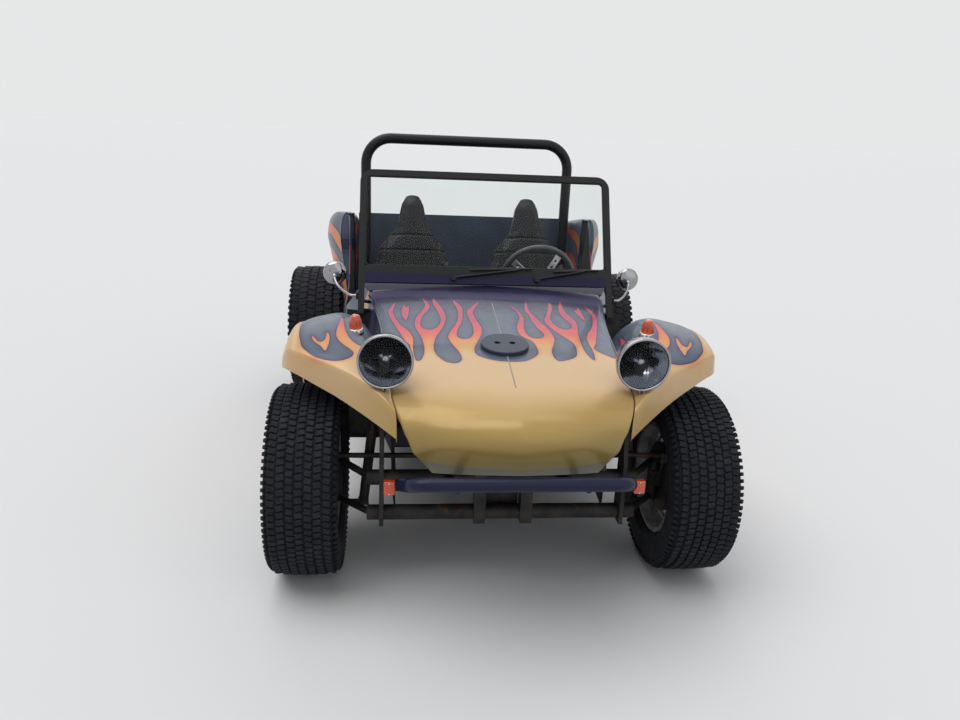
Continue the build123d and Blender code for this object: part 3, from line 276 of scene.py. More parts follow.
# Clear-coated paint of the body, its slate as stops of a ramp, and the pale violet of a painted reflection
# over its violet
LACQUER = {"rough": 0.38, "metal": 0.15, "specular_ior_level": 0.3, "coat_weight": 0.22,
           "coat_roughness": 0.06}
SLATE = ((0.3, (0.075, 0.105, 0.125)), (0.7, (0.095, 0.12, 0.19)))
REFLECTED_VIOLET = (0.20, 0.19, 0.38)


@functools.cache
def flame_paint():
    """Gold fading to red in the tongues, on slate, with a dark pinstripe between them, under clear coat."""
    s = Shader("flame_paint", **LACQUER)
    edge, heat = s.attribute("paint_edge"), s.attribute("paint_warmth")
    y, z = s.axis("Y"), s.axis("Z")

    def along(first, last, value=y):
        return s.span(value, FRONT_AXLE_Y + first, FRONT_AXLE_Y + last)

    warm = s.ramp(heat, (0.0, (0.64, 0.43, 0.22)), (0.22, (0.66, 0.36, 0.13)), (0.42, (0.68, 0.24, 0.07)),
                  (0.62, (0.66, 0.10, 0.07)), (0.85, (0.60, 0.06, 0.10)), (1.0, (0.46, 0.05, 0.14)))
    # The nose is painted darker, deep gold and then olive low down, as painted shade on its lower faces, and
    # ends in a greyed lip
    warm = s.mix(s.both(s.span(z, 0.775, 0.74), along(-0.20, -0.36)), warm, (0.50, 0.32, 0.10))
    warm = s.mix(s.both(s.span(z, 0.74, 0.60), along(-0.33, -0.42)), warm, (0.26, 0.19, 0.05))
    lip = s.both(s.span(z, 0.581, 0.575), along(-0.33, -0.42))
    warm = s.mix(s.both(lip, 0.8), warm, (0.14, 0.15, 0.14))
    slate = s.ramp(s.noise(7, 3), *SLATE)
    # Towards the windscreen the slate turns to violet, with a paler band across it that is a painted
    # reflection
    waves = s.noise(1.6, 1, where=s.place(scale=(1, 0.2, 0.2)))
    shifted = s.maths("ADD", y, s.span(waves, 0.3, 0.7, -0.05, 0.05))
    dusk = s.both(along(0.30, 0.44, shifted), along(0.604, 0.602))
    slate = s.mix(dusk, slate, (0.012, 0.011, 0.048))
    reflected_band = s.both(along(0.46, 0.49, shifted), along(0.56, 0.53, shifted))
    slate = s.mix(s.both(reflected_band, 0.2), slate, REFLECTED_VIOLET)
    # Shaded towards the pinstripe, as sprayed by hand
    slate = s.mix(s.both(s.span(edge, -26, 0), 0.6), slate, (0.035, 0.035, 0.11))
    warm = s.mix(s.span(edge, 0, 12, 0.45, 0.0), warm, (0.62, 0.09, 0.07))
    paint = s.mix(s.span(edge, -0.7, 0.7), slate, warm)
    line = s.maths("SUBTRACT", 1.0, s.span(s.maths("ABSOLUTE", s.maths("ADD", edge, 1.6)), 1.3, 2.6))
    paint = s.mix(s.both(line, 0.9), paint, (0.025, 0.02, 0.07))
    # Pale specks for the pearl's flake: the flake is real, its glints are painted into the colour
    paint = s.mix(s.span(s.cells(2600), 0.0, 0.5, 0.07, 0.0), paint, (0.85, 0.8, 0.72), "SCREEN")
    chips = s.both(s.span(s.noise(55, 5, 0.7), 0.72, 0.75), s.span(s.noise(4, 1), 0.5, 0.62))
    s.tint(chips, paint, (0.45, 0.42, 0.38))
    s.sheen(35, 4, 0.3, 0.8, 0.3, 0.46)
    s.bump(s.noise(14, 2), 0.0015, 0.1)
    return s


@functools.cache
def slate_paint():
    """Plain slate of the deck and fittings, dulled and spotted by age."""
    s = Shader("slate_paint", **LACQUER)
    paint = s.ramp(s.noise(7, 3), *SLATE)
    s.tint(s.span(s.noise(60, 6, 0.7), 0.55, 0.85, 0.0, 0.22), paint, (0.3, 0.28, 0.25))
    s.sheen(35, 4, 0.3, 0.8, 0.3, 0.46)
    s.bump(s.noise(14, 2), 0.0015, 0.1)
    return s


@functools.cache
def cap_paint():
    """Dark slate of the filler cap, rubbed pale in patches."""
    s = Shader("cap_paint", rough=0.4, specular_ior_level=0.3)
    rubbed = s.span(s.noise(90, 5, 0.7), 0.6, 0.75)
    s.tint(rubbed, (0.035, 0.045, 0.075), (0.10, 0.11, 0.13))
    s.bump(s.noise(200, 2), 0.0004, 0.2)
    return s


@functools.cache
def violet_paint():
    """Dark violet of the cowl, with a paler band across the car that is a painted reflection."""
    s = Shader("violet_paint", rough=0.45, specular_ior_level=0.1, coat_weight=0.03, coat_roughness=0.06)
    waves = s.noise(1.6, 1, where=s.place(scale=(1, 0.2, 0.2)))
    y = s.maths("ADD", s.axis("Y"), s.span(waves, 0.3, 0.7, -0.02, 0.02))
    # Pale band across the cowl: a painted reflection
    reflected_band = s.both(s.span(y, FRONT_AXLE_Y + 0.640, FRONT_AXLE_Y + 0.648),
                  s.span(y, FRONT_AXLE_Y + 0.672, FRONT_AXLE_Y + 0.662))
    paint = s.mix(s.noise(9, 3), (0.009, 0.0085, 0.038), (0.017, 0.016, 0.055))
    s.tint(s.both(reflected_band, 0.12), paint, REFLECTED_VIOLET)
    s.bump(s.noise(14, 2), 0.0015, 0.1)
    return s


# Rail under the windscreen's bottom bar, in metres
RAIL_TOP, RAIL_END = 0.9500, 0.5045


@functools.cache
def screen_paint():
    """Black of the windscreen frame, and the cowl's violet on the rail below its bottom bar."""
    s = Shader("screen_paint", rough=0.4, specular_ior_level=0.2, coat_weight=0.04)
    rail = s.both(s.span(s.axis("Z"), RAIL_TOP, RAIL_TOP - 0.0012),
                  s.span(s.maths("ABSOLUTE", s.axis("X")), RAIL_END, RAIL_END - 0.0015))
    black = s.mix(s.noise(30, 4), (0.014, 0.014, 0.015), (0.026, 0.026, 0.027))
    s.tint(rail, black, (0.013, 0.012, 0.048))
    s.sheen(40, 3, 0.3, 0.8, 0.34, 0.5)
    s.bump(s.noise(260, 2), 0.0003, 0.2)
    return s


@functools.cache
def crease_paint():
    """Pale paint along the hood's middle seam: a painted highlight on its ridge."""
    s = Shader("crease_paint", (0.36, 0.33, 0.32), 0.5, specular_ior_level=0.3)
    s.tint(s.noise(35, 5), (0.26, 0.23, 0.22), (0.44, 0.40, 0.38))
    s.bump(s.noise(300, 2), 0.0003, 0.3)
    return s


@functools.cache
def raw_laminate():
    """Inner side of the body: dark primer over the glass mat."""
    s = Shader("raw_laminate", (0.03, 0.03, 0.032), 0.85, specular_ior_level=0.25)
    s.feed(s.ramp(s.noise(22, 6), (0.35, (0.02, 0.02, 0.022)), (0.75, (0.055, 0.052, 0.05))), "Base Color")
    s.bump(s.cells(180, s.place(scale=(1, 0.35, 1))), 0.0015, 0.5)
    return s


@functools.cache
def black_paint():
    """Gloss black tube, a little orange-peeled, with rubbed and dusty spots."""
    s = Shader("black_paint", (0.010, 0.010, 0.012), 0.35, specular_ior_level=0.25)
    spots = s.span(s.noise(70, 5, 0.7), 0.66, 0.74)
    s.tint(spots, (0.010, 0.010, 0.012), (0.07, 0.055, 0.045))
    s.sheen(60, 3, 0.35, 0.75, 0.28, 0.5)
    s.bump(s.noise(420, 1), 0.0004, 0.25)
    return s


@functools.cache
def chassis_black():
    """Old chassis paint with dust and rust through it."""
    s = Shader("chassis_black", (0.02, 0.02, 0.022), 0.7, specular_ior_level=0.25)
    dust = s.ramp(s.noise(14, 5), (0.4, (0.014, 0.014, 0.016)), (0.75, (0.05, 0.044, 0.036)))
    rust = s.span(s.noise(30, 6, 0.7), 0.58, 0.68)
    s.tint(rust, dust, (0.13, 0.045, 0.018))
    s.feed(s.span(rust, 0, 1, 0.55, 0.9), "Roughness")
    s.bump(s.noise(160, 3), 0.001, 0.4)
    return s


@functools.cache
def chrome():
    """Bright plating, hazed in places."""
    s = Shader("chrome", (0.78, 0.78, 0.80), 0.08, 1.0)
    s.tint(s.span(s.noise(45, 6, 0.7), 0.6, 0.72), (0.62, 0.62, 0.64), (0.28, 0.26, 0.25))
    s.sheen(30, 3, 0.4, 0.8, 0.05, 0.2)
    return s


@functools.cache
def aged_chrome():
    """Plating gone dark and hazy, on the lamps and mirrors."""
    s = Shader("aged_chrome", (0.34, 0.34, 0.36), 0.12, 1.0)
    s.tint(s.span(s.noise(45, 6, 0.7), 0.58, 0.72), (0.34, 0.34, 0.36), (0.12, 0.11, 0.10))
    s.sheen(30, 3, 0.4, 0.8, 0.07, 0.25)
    return s


@functools.cache
def reflector(name="silvered", colour=(0.36, 0.38, 0.42)):
    """Silvered bowl of a lamp, or a mirror's face."""
    s = Shader(name, colour, 0.12, 1.0)
    s.tint(s.noise(20, 3), tuple(c * 0.8 for c in colour), colour)
    s.sheen(50, 3, 0.35, 0.8, 0.07, 0.2)
    return s


@functools.cache
def lamp_back():
    """Black rubber and plastic behind the lamps."""
    s = Shader("lamp_back", (0.015, 0.015, 0.016), 0.6, specular_ior_level=0.25)
    s.tint(s.noise(60, 3), (0.010, 0.010, 0.011), (0.03, 0.028, 0.026))
    s.bump(s.noise(300, 2), 0.0005, 0.3)
    return s


@functools.cache
def clear_glass(name, colour):
    """Clear glass, a little wavy, with a faint uneven film on it."""
    s = Shader(name, colour, 0.0, transmission_weight=1.0, ior=1.13, specular_ior_level=0.0)
    s.tint(s.noise(16, 5), colour, tuple(c * 0.94 for c in colour))
    s.sheen(12, 5, 0.45, 0.8, 0.0, 0.001)
    s.bump(s.noise(3, 1), 0.0004, 0.03)
    return s


def lamp_glass():
    return clear_glass("lamp_glass", (0.93, 0.96, 1.0))


@functools.cache
def lens_glass(name, colour):
    """Coloured lamp plastic, deep and glossy."""
    s = Shader(name, colour, 0.1, transmission_weight=0.3, coat_weight=1.0, coat_roughness=0.02, ior=1.49)
    s.tint(s.noise(50, 3), tuple(c * 0.75 for c in colour), colour)
    s.sheen(80, 3, 0.4, 0.8, 0.06, 0.22)
    return s


def amber_glass():
    return lens_glass("amber_glass", (0.78, 0.075, 0.008))


def red_glass():
    return lens_glass("red_glass", (0.55, 0.01, 0.012))


@functools.cache
def tyre_rubber():
    """Blue-black rubber, greyed in patches by dust and scuffs."""
    s = Shader("tyre_rubber", (0.018, 0.019, 0.026), 0.75, specular_ior_level=0.25)
    scuff = s.span(s.noise(24, 6, 0.65), 0.48, 0.8, 0.0, 0.55)
    s.tint(scuff, (0.008, 0.009, 0.014), (0.04, 0.039, 0.043))
    s.sheen(40, 3, 0.3, 0.8, 0.6, 0.85)
    s.bump(s.noise(500, 3), 0.0006, 0.35)
    return s


@functools.cache
def grip_rubber():
    """Smooth black rubber of mats, bellows, sills and the fan belt."""
    s = Shader("grip_rubber", (0.012, 0.012, 0.013), 0.4, specular_ior_level=0.25)
    s.tint(s.noise(60, 3), (0.008, 0.008, 0.009), (0.028, 0.028, 0.03))
    s.sheen(25, 3, 0.3, 0.8, 0.28, 0.55)
    s.bump(s.noise(600, 2), 0.0004, 0.3)
    return s


@functools.cache
def rim_leather():
    """Grey hide laced round the steering wheel, rubbed shiny where hands hold it."""
    s = Shader("rim_leather", (0.06, 0.06, 0.065), 0.45, specular_ior_level=0.5)
    s.tint(s.noise(40, 4), (0.035, 0.035, 0.04), (0.11, 0.11, 0.12))
    s.sheen(25, 3, 0.3, 0.7, 0.32, 0.55)
    s.bump(s.cells(420), 0.0004, 0.4)
    return s


@functools.cache
def seat_vinyl():
    """Black grained vinyl with dust in patches."""
    s = Shader("seat_vinyl", (0.02, 0.02, 0.022), 0.5, specular_ior_level=0.3)
    worn = s.span(s.noise(8, 5, 0.6), 0.45, 0.8, 0.0, 0.5)
    s.tint(worn, (0.008, 0.008, 0.010), (0.035, 0.034, 0.036))
    s.sheen(20, 4, 0.3, 0.8, 0.38, 0.6)
    grain = s.cells(420, feature="DISTANCE_TO_EDGE")
    s.bump(s.span(grain, 0.0, 0.25), 0.0006, 0.2)
    return s


@functools.cache
def wheel_steel():
    """Silver wheel paint, stained brown and dusty."""
    s = Shader("wheel_steel", (0.3, 0.3, 0.3), 0.5, 0.4)
    stain = s.span(s.noise(9, 6, 0.65), 0.42, 0.68)
    paint = s.mix(stain, (0.30, 0.30, 0.31), (0.075, 0.055, 0.045))
    s.tint(s.span(s.noise(45, 6, 0.7), 0.62, 0.7), paint, (0.13, 0.05, 0.02))
    s.feed(s.span(stain, 0, 1, 0.4, 0.8), "Roughness")
    s.bump(s.noise(200, 3), 0.0006, 0.25)
    return s


@functools.cache
def bare_metal(name, colour, grime):
    """Cast or pressed metal with oily grime in it."""
    s = Shader(name, colour, 0.5, 0.75)
    dirt = s.span(s.noise(16, 6, 0.65), 0.42, 0.7)
    s.tint(dirt, colour, grime)
    s.feed(s.span(dirt, 0, 1, 0.42, 0.85), "Roughness")
    s.bump(s.noise(240, 3), 0.0008, 0.35)
    return s


def pulley_steel():
    return bare_metal("pulley_steel", (0.25, 0.25, 0.26), (0.07, 0.05, 0.04))


def cast_alloy():
    return bare_metal("cast_alloy", (0.33, 0.33, 0.32), (0.06, 0.05, 0.04))


def rusty_steel():
    return bare_metal("rusty_steel", (0.10, 0.06, 0.04), (0.12, 0.045, 0.02))


@functools.cache
def bumper_paint():
    """Gloss navy enamel with small chips."""
    s = Shader("bumper_paint", (0.008, 0.010, 0.04), 0.32, specular_ior_level=0.22, coat_weight=0.08)
    chips = s.span(s.noise(120, 5, 0.7), 0.68, 0.72)
    s.tint(chips, (0.007, 0.009, 0.036), (0.09, 0.07, 0.06))
    s.bump(s.noise(60, 2), 0.0006, 0.2)
    return s


@functools.cache
def dial_white():
    """Faded white of dial marks."""
    s = Shader("dial_white", (0.75, 0.74, 0.7), 0.6)
    s.tint(s.noise(90, 3), (0.6, 0.58, 0.53), (0.8, 0.79, 0.76))
    s.bump(s.noise(900, 2), 0.0002, 0.2)
    return s


# Shapes of the body
def through(knots, rows, steps):
    """Smooth curve through rows that stand at knots, read at steps."""
    knots, rows = np.asarray(knots, float), np.asarray(rows, float)
    gap = np.diff(knots)
    rise = np.diff(rows, axis=0) / gap[:, None]
    inner = (rise[:-1] * gap[1:, None] + rise[1:] * gap[:-1, None]) / (gap[1:] + gap[:-1])[:, None]
    slope = np.vstack([rise[:1], inner, rise[-1:]])
    k = np.clip(np.searchsorted(knots, steps, side="right") - 1, 0, len(gap) - 1)
    h = gap[k][..., None]
    t = (np.asarray(steps) - knots[k])[..., None] / h
    return ((2 * t**3 - 3 * t**2 + 1) * rows[k] + (t**3 - 2 * t**2 + t) * h * slope[k]
            + (3 * t**2 - 2 * t**3) * rows[k + 1] + (t**3 - t**2) * h * slope[k + 1])


def table(rows, steps):
    """Columns of a body table, read smoothly at steps of its first column."""
    rows = np.array(rows, float)
    return np.moveaxis(through(rows[:, 0], rows[:, 1:], steps), -1, 0)


def soften(points, first, last):
    """Rounds a crest: averages neighbouring columns between first and last, three times over."""
    for _ in range(3):
        beside = points[:, first - 1:last - 1] + points[:, first + 1:last + 1]
        points[:, first:last] = 0.5 * points[:, first:last] + 0.25 * beside
    return points


def sheet(x, y, z):
    """Grid of points whose rows stand at y."""
    return np.stack([x, np.repeat(y[:, None], z.shape[1], axis=1), z], axis=-1)


def hood_rows(step):
    """Rows of the hood's table, read at even steps along its centre crease."""
    rows = np.array(HOOD_ROWS, float)
    length = np.concatenate([[0], np.cumsum(np.hypot(np.diff(rows[:, 0]), np.diff(rows[:, 1])))])
    return through(length, rows, np.linspace(0, length[-1], int(length[-1] / step) + 1))


def hood_grid():
    """Outer face of the hood, row by row from the cowl to the lower lip."""
    y, z, tilt, half, drop, bulge = hood_rows(FINE_STEP).T[:, :, None]
    roll = np.clip(8 + (y + 300) / 200 * 12, 8, 22)
    u = np.linspace(0, 1, int(400 / FINE_STEP))[None, :]
    crease = np.sqrt(u**2 + 0.05**2) - 0.05
    crease = crease / crease[0, -1]
    a = 1 - bulge / (0.375 * drop)
    turn = np.arctan(drop * (a + 3 * (1 - a)) / half)
    start = half - roll * (1 - np.sin(turn))
    share = start / half
    v_top = -drop * (a * crease * share + (1 - a) * (u * share) ** 3)
    angle = turn + (np.pi / 2 - turn) * np.linspace(0, 1, 7)[None, 1:]
    x_roll = start + roll * (np.sin(angle) - np.sin(turn))
    v_roll = v_top[:, -1:] - roll * (np.cos(turn) - np.cos(angle))
    v_low = -drop - HOOD_FLANGE
    x = np.hstack([start * u, x_roll, x_roll[:, -1:], x_roll[:, -1:]])
    v = np.hstack([v_top, v_roll, (v_roll[:, -1:] + v_low) / 2, v_low])
    x = np.hstack([-x[:, :0:-1], x])
    v = np.hstack([v[:, :0:-1], v])
    t = np.radians(tilt)
    return np.stack([x, y - v * np.sin(t), z + v * np.cos(t)], axis=-1)[::-1]


def hood_edge(y):
    """Half width of the hood's edge at y, in plan."""
    rows = hood_rows(8.0)
    edge_y = rows[:, 0] + rows[:, 4] * np.sin(np.radians(rows[:, 2]))
    order = np.argsort(edge_y)
    return np.interp(y, edge_y[order], rows[order, 3])


# Shares of the fender's path at which its crest and its top lie
CREST, TOP = 0.12, 0.5


def fender_path(x, s):
    """y, z of the fender's outer face: s runs from the lip over the crest and the top to the foot."""
    lip_y, lip_z, crest_y, crest_z, top_y, top_z, foot_y, foot_z = table(FENDER_ROWS, x)
    a = np.clip(s / CREST, 0, 1)
    b = np.clip((s - CREST) / (TOP - CREST), 0, 1)
    c = np.clip((s - TOP) / (1 - TOP), 0, 1)
    run = np.hypot(top_y - crest_y, top_z - crest_z)
    lift = 0.06 * (top_y - crest_y) * 4 * b * (1 - b)
    y_front = crest_y + (top_y - crest_y) * b - (top_z - crest_z) / run * lift
    z_front = crest_z + (top_z - crest_z) * b + (top_y - crest_y) / run * lift
    length, fall = foot_y - top_y, top_z - foot_z
    radius = (length**2 + fall**2) / (2 * fall)
    angle = np.arctan2(length, radius - fall) * c
    y = np.where(s < CREST, lip_y + (crest_y - lip_y) * a,
                 np.where(s < TOP, y_front, top_y + radius * np.sin(angle)))
    z = np.where(s < CREST, lip_z + (crest_z - lip_z) * a,
                 np.where(s < TOP, z_front, top_z - radius * (1 - np.cos(angle))))
    return y, z


def fender_grid():
    """Outer face of the left front fender, from the hood's seam outwards."""
    s = np.concatenate([np.linspace(0, CREST, 12)[:-1], np.linspace(CREST, TOP, int(420 / FINE_STEP))[:-1],
                        np.linspace(TOP, 1, int(760 / FINE_STEP))])
    share = 1 - (1 - np.linspace(0, 1, int(400 / FINE_STEP))) ** 1.25
    along, share = np.meshgrid(s, share)
    outer = FENDER_ROWS[-1][0]
    x = 400 + share * (outer - 400)
    for _ in range(12):
        y = fender_path(x, along)[0]
        tuck = np.clip((y[:1] - 60) / 30, 0, 1)
        inner = hood_edge(y[:1]) + SEAM - (SEAM + 10) * tuck
        x = inner + share * (outer - inner)
    y, z = fender_path(x, along)
    points = soften(np.stack([x, y, z], axis=-1), 7, 17)
    # The seam's edge turns down towards the hood, and the outer edge down over the tyre
    seam = points[:1] + (-1.5, 0, -9)
    drop = 8 * np.clip(np.arange(points.shape[1]) / 24, 0.12, 1)
    wire = points[-1:] + np.stack([0.06 * drop, 0 * drop, -drop], axis=-1)[None]
    return np.concatenate([seam, points, wire])[::-1]


def fender_height(x, y):
    """z of the fender's outer face above x, y, back from its crown."""
    s = np.linspace(CREST, 1, 240)
    heights = []
    for xi, yi in zip(np.ravel(x), np.ravel(y)):
        path_y, path_z = fender_path(np.full_like(s, xi), s)
        k = np.argmax(path_y)
        heights.append(np.interp(yi, path_y[:k + 1], path_z[:k + 1]) if yi < path_y[k] else 0.0)
    return np.reshape(heights, np.shape(x))


def side_grid():
    """Outer face of the left tub side, with its top edge rolled out."""
    y = np.arange(TUB_ROWS[0][0], TUB_ROWS[-1][0] + 0.1, SIDE_STEP)
    low, top, high = table(TUB_ROWS, y)
    lean = (low - top) / (high - FLOOR_TOP)
    base = np.full_like(y, FLOOR_TOP)
    for _ in range(4):
        x = top + (high - base) * lean
        base = np.maximum(FLOOR_TOP, fender_height(x, y) - 4)
    base = np.minimum(base, high - 12)
    z = base[:, None] + (high - 5 - base)[:, None] * np.linspace(0, 1, 60)[None, :]
    x = top[:, None] + (high[:, None] - z) * lean[:, None]
    points = sheet(x, y, z)
    edge = points[:, -1:]
    return np.concatenate([points, edge + (0.8, 0, 3.0), edge + (-1.5, 0, 5.0)], axis=1)[::-1]


def well_grid():
    """Wheel-well wall under the left fender."""
    y = np.arange(WELL_ROWS[0][0], WELL_ROWS[-1][0], WELL_STEP)
    low, top, high = table(WELL_ROWS, y)
    lean = (low - top) / (high - FLOOR_TOP)
    roof = high - 20
    for _ in range(4):
        x = top + (high - roof) * lean
        roof = np.minimum(high, fender_height(x, y) - 7)
    roof = np.maximum(roof, FLOOR_TOP + 10)
    z = FLOOR_TOP + (roof - FLOOR_TOP)[:, None] * np.linspace(0, 1, 24)[None, :]
    x = top[:, None] + (high[:, None] - z) * lean[:, None]
    return sheet(x, y, z)[::-1]


def fold(row, share, move):
    """A row of the quarter's end flange, drawn in towards the inner wall and moved along the car."""
    row = row.copy()
    row[:, 0] = WELL_HALF + (row[:, 0] - WELL_HALF) * share
    row[:, 1] += move
    return row[None]


def quarter_grid():
    """Outer face of the left rear quarter from its inner wall over the shoulder to the wheel arch."""
    y = np.arange(QUARTER_ROWS[0][0], QUARTER_ROWS[-1][0] + 0.1, SIDE_STEP)
    sx, sz, wx, wz, lx, lz = table(QUARTER_ROWS, y)
    arch = ARCH_Z + np.sqrt(np.clip(ARCH_R**2 - (y - ARCH_Y) ** 2, 0, None))
    lip_z = np.minimum(np.maximum(lz, arch), wz - 20)
    lip_x = lx + (wx - lx) * (lip_z - lz) / (wz - lz)
    inner = [(WELL_HALF + 0 * y, SHELF_Z + (sz - 12 - SHELF_Z) * t) for t in np.linspace(0, 1, 16)]
    crown = [(WELL_HALF + 14 + (sx - WELL_HALF - 14) * t, sz + 0 * y) for t in np.linspace(0, 1, 9)]
    turn_x, turn_z = sx + (wx - sx) * 0.75, wz + (sz - wz) * 0.68
    bend = []
    for t in np.linspace(0, 1, 22)[1:]:
        # quadratic through shoulder, turn and widest point
        a, b, c = 2 * (t - 0.5) * (t - 1), -4 * t * (t - 1), 2 * t * (t - 0.5)
        bend.append((a * sx + b * turn_x + c * wx, a * sz + b * turn_z + c * wz))
    skirt = [(wx + (lip_x - wx) * t, wz + (lip_z - wz) * t) for t in np.linspace(0, 1, 18)[1:]]
    path = inner + crown + bend + skirt
    points = sheet(np.stack([p[0] for p in path], axis=1), y, np.stack([p[1] for p in path], axis=1))
    points = soften(points, 12, 30)
    shares = (0.97, 0.9, 0.7, 0.45, 0.2, 0.0)
    front = [fold(points[0], share, 1) for share in reversed(shares)]
    tail = [fold(points[-1], share, 5.5) for share in shares]
    return np.concatenate(front + [points] + tail)


def mirrored(points):
    """The right side's grid from the left side's, still facing outwards."""
    return points[::-1] * (-1, 1, 1)


# Paint edges
# Points on each stretch of a drawn line, and how far in mm its distance is kept
LINE_STEPS, EDGE_REACH = 5, 60


def rounded(outline, closed):
    """Smooth line through the points of a drawn outline."""
    p = np.array(outline, float)
    p = np.vstack([p[-1:], p, p[:2]]) if closed else np.vstack([p[:1], p, p[-1:]])
    t = np.linspace(0, 1, LINE_STEPS, endpoint=False)[:, None]
    runs = []
    for a, b, c, d in zip(p[:-3], p[1:-2], p[2:-1], p[3:]):
        square, cube = 2 * a - 5 * b + 4 * c - d, 3 * b - a - 3 * c + d
        runs.append(0.5 * (2 * b + (c - a) * t + square * t**2 + cube * t**3))
    line = np.concatenate(runs)
    return line if closed else np.vstack([line, p[-1:]])


def inside_distance(points, loop):
    """Signed distance of points to a closed outline, positive inside."""
    a, b = loop, np.roll(loop, -1, axis=0)
    best = np.full(len(points), 1e9)
    inside = np.zeros(len(points), bool)
    for (ax, ay), (bx, by) in zip(a, b):
        dx, dy = bx - ax, by - ay
        size = dx * dx + dy * dy
        if size < 1e-9:
            continue
        t = np.clip(((points[:, 0] - ax) * dx + (points[:, 1] - ay) * dy) / size, 0, 1)
        best = np.minimum(best, (points[:, 0] - ax - t * dx) ** 2 + (points[:, 1] - ay - t * dy) ** 2)
        if ay != by:
            cross = (ay > points[:, 1]) != (by > points[:, 1])
            inside ^= cross & (points[:, 0] < dx * (points[:, 1] - ay) / dy + ax)
    return np.where(inside, 1, -1) * np.sqrt(best)


def flame_fields(flat, front, licks, heat):
    """Distance to the nearest paint edge, positive in the gold, and the gold's heat, at flat places."""
    edge = np.full(len(flat), -1e3) if front is None else inside_distance(flat, front)
    for lick in licks:
        edge = np.maximum(edge, inside_distance(flat, rounded(lick, True)))
    return {"paint_edge": np.clip(edge, -EDGE_REACH, EDGE_REACH), "paint_warmth": np.clip(heat, 0, 1)}


# Small tools for pieces
MM = 0.001


def at(x, y, z):
    """A place in metres from millimetres measured from the front axle."""
    return Vector((x * MM, y * MM + FRONT_AXLE_Y, z * MM))


def facing(place, axis):
    """Matrix that stands a piece at place with its Z along axis."""
    return Matrix.Translation(place) @ Vector(axis).to_track_quat("Z", "Y").to_matrix().to_4x4()


def vertices(mesh, key="co"):
    """Places of a mesh's vertices, or their normals, one row each."""
    values = np.empty(len(mesh.vertices) * 3)
    mesh.vertices.foreach_get(key, values)
    return values.reshape(-1, 3)


def put_vertices(mesh, points):
    mesh.vertices.foreach_set("co", points.ravel())


def named(name, finish):
    """Names the new primitive and gives it its material."""
    piece = bpy.context.object
    piece.name = name
    piece.data.materials.clear()
    piece.data.materials.append(finish.mat)
    return piece


def only(piece, *others):
    bpy.ops.object.select_all(action="DESELECT")
    for each in (piece, *others):
        each.select_set(True)
    bpy.context.view_layer.objects.active = piece
    return piece


def joined(pieces):
    """Makes the first piece one with the others."""
    only(*pieces)
    if len(pieces) > 1:
        bpy.ops.object.join()
    return bpy.context.object


def settled(piece):
    """Puts a piece's place, turn and size into its mesh."""
    only(piece)
    bpy.ops.object.transform_apply(location=True, rotation=True, scale=True)
    return piece


def smooth(piece, angle=35):
    settled(piece)
    bpy.ops.object.shade_smooth_by_angle(angle=math.radians(angle))
    return piece


def edited(*operations):
    """Runs mesh operations on the whole of the active piece, each with its values."""
    bpy.ops.object.mode_set(mode="EDIT")
    for operation, values in operations:
        bpy.ops.mesh.select_all(action="SELECT")
        operation(**values)
    bpy.ops.object.mode_set(mode="OBJECT")


def apply_all(piece):
    only(piece)
    for modifier in list(piece.modifiers):
        bpy.ops.object.modifier_apply(modifier=modifier.name)
    return piece


def bevelled(piece, width, segments, limit="NONE"):
    """Rounds a piece's edges; width in mm."""
    edge = piece.modifiers.new("edge", "BEVEL")
    edge.width, edge.segments, edge.limit_method = width * MM, segments, limit
    return apply_all(piece)


def turned(name, section, centre, axis, finish, steps=48, angle=35):
    """Spins a closed section of (radius, distance along the axis), in mm, round an axis through centre."""
    bpy.ops.mesh.primitive_circle_add(vertices=len(section), radius=1)
    piece = named(name, finish)
    put_vertices(piece.data, np.array([(r, 0, d) for r, d in section], float) * MM)
    whole_turn = {"steps": steps, "angle": 2 * math.pi, "center": (0, 0, 0), "axis": (0, 0, 1)}
    edited((bpy.ops.mesh.spin, whole_turn), (bpy.ops.mesh.remove_doubles, {"threshold": 2e-5}),
           (bpy.ops.mesh.delete_loose, {}), (bpy.ops.mesh.normals_make_consistent, {"inside": False}))
    piece.matrix_world = facing(centre, axis)
    return smooth(piece, angle)


def rod(name, route, radius, finish, closed=False):
    """A round bar along a smooth route of points in mm."""
    curve = bpy.data.curves.new(name, "CURVE")
    curve.dimensions = "3D"
    spline = curve.splines.new("NURBS")
    spline.points.add(len(route) - 1)
    for point, place in zip(spline.points, route):
        point.co = (*at(*place), 1)
    spline.order_u = 3
    spline.use_endpoint_u = not closed
    spline.use_cyclic_u = closed
    curve.resolution_u = 8
    curve.bevel_depth = radius * MM
    curve.bevel_resolution = 4
    curve.use_fill_caps = True
    piece = bpy.data.objects.new(name, curve)
    bpy.context.scene.collection.objects.link(piece)
    only(piece)
    bpy.ops.object.convert(target="MESH")
    piece.data.materials.append(finish.mat)
    return smooth(bpy.context.object, 40)


def block(name, centre, size, finish, bevel=2.0, turn=(0, 0, 0), segments=2):
    """A block with rounded edges; centre and size in mm, turn in degrees."""
    bpy.ops.mesh.primitive_cube_add(size=1, location=at(*centre), rotation=[math.radians(a) for a in turn])
    piece = named(name, finish)
    piece.scale = Vector(size) * MM
    bpy.ops.object.transform_apply(location=False, rotation=False, scale=True)
    return smooth(bevelled(piece, bevel, segments))


def copied(piece, move=(0, 0, 0), flip=False, name=None):
    """A copy with its own mesh, moved by mm or mirrored across the car."""
    twin = piece.copy()
    twin.data = piece.data.copy()
    twin.name = name or piece.name + "_copy"
    bpy.context.scene.collection.objects.link(twin)
    twin.location = Vector(move) * MM
    if flip:
        twin.scale.x = -1
    settled(twin)
    if flip:
        edited((bpy.ops.mesh.flip_normals, {}))
    return twin


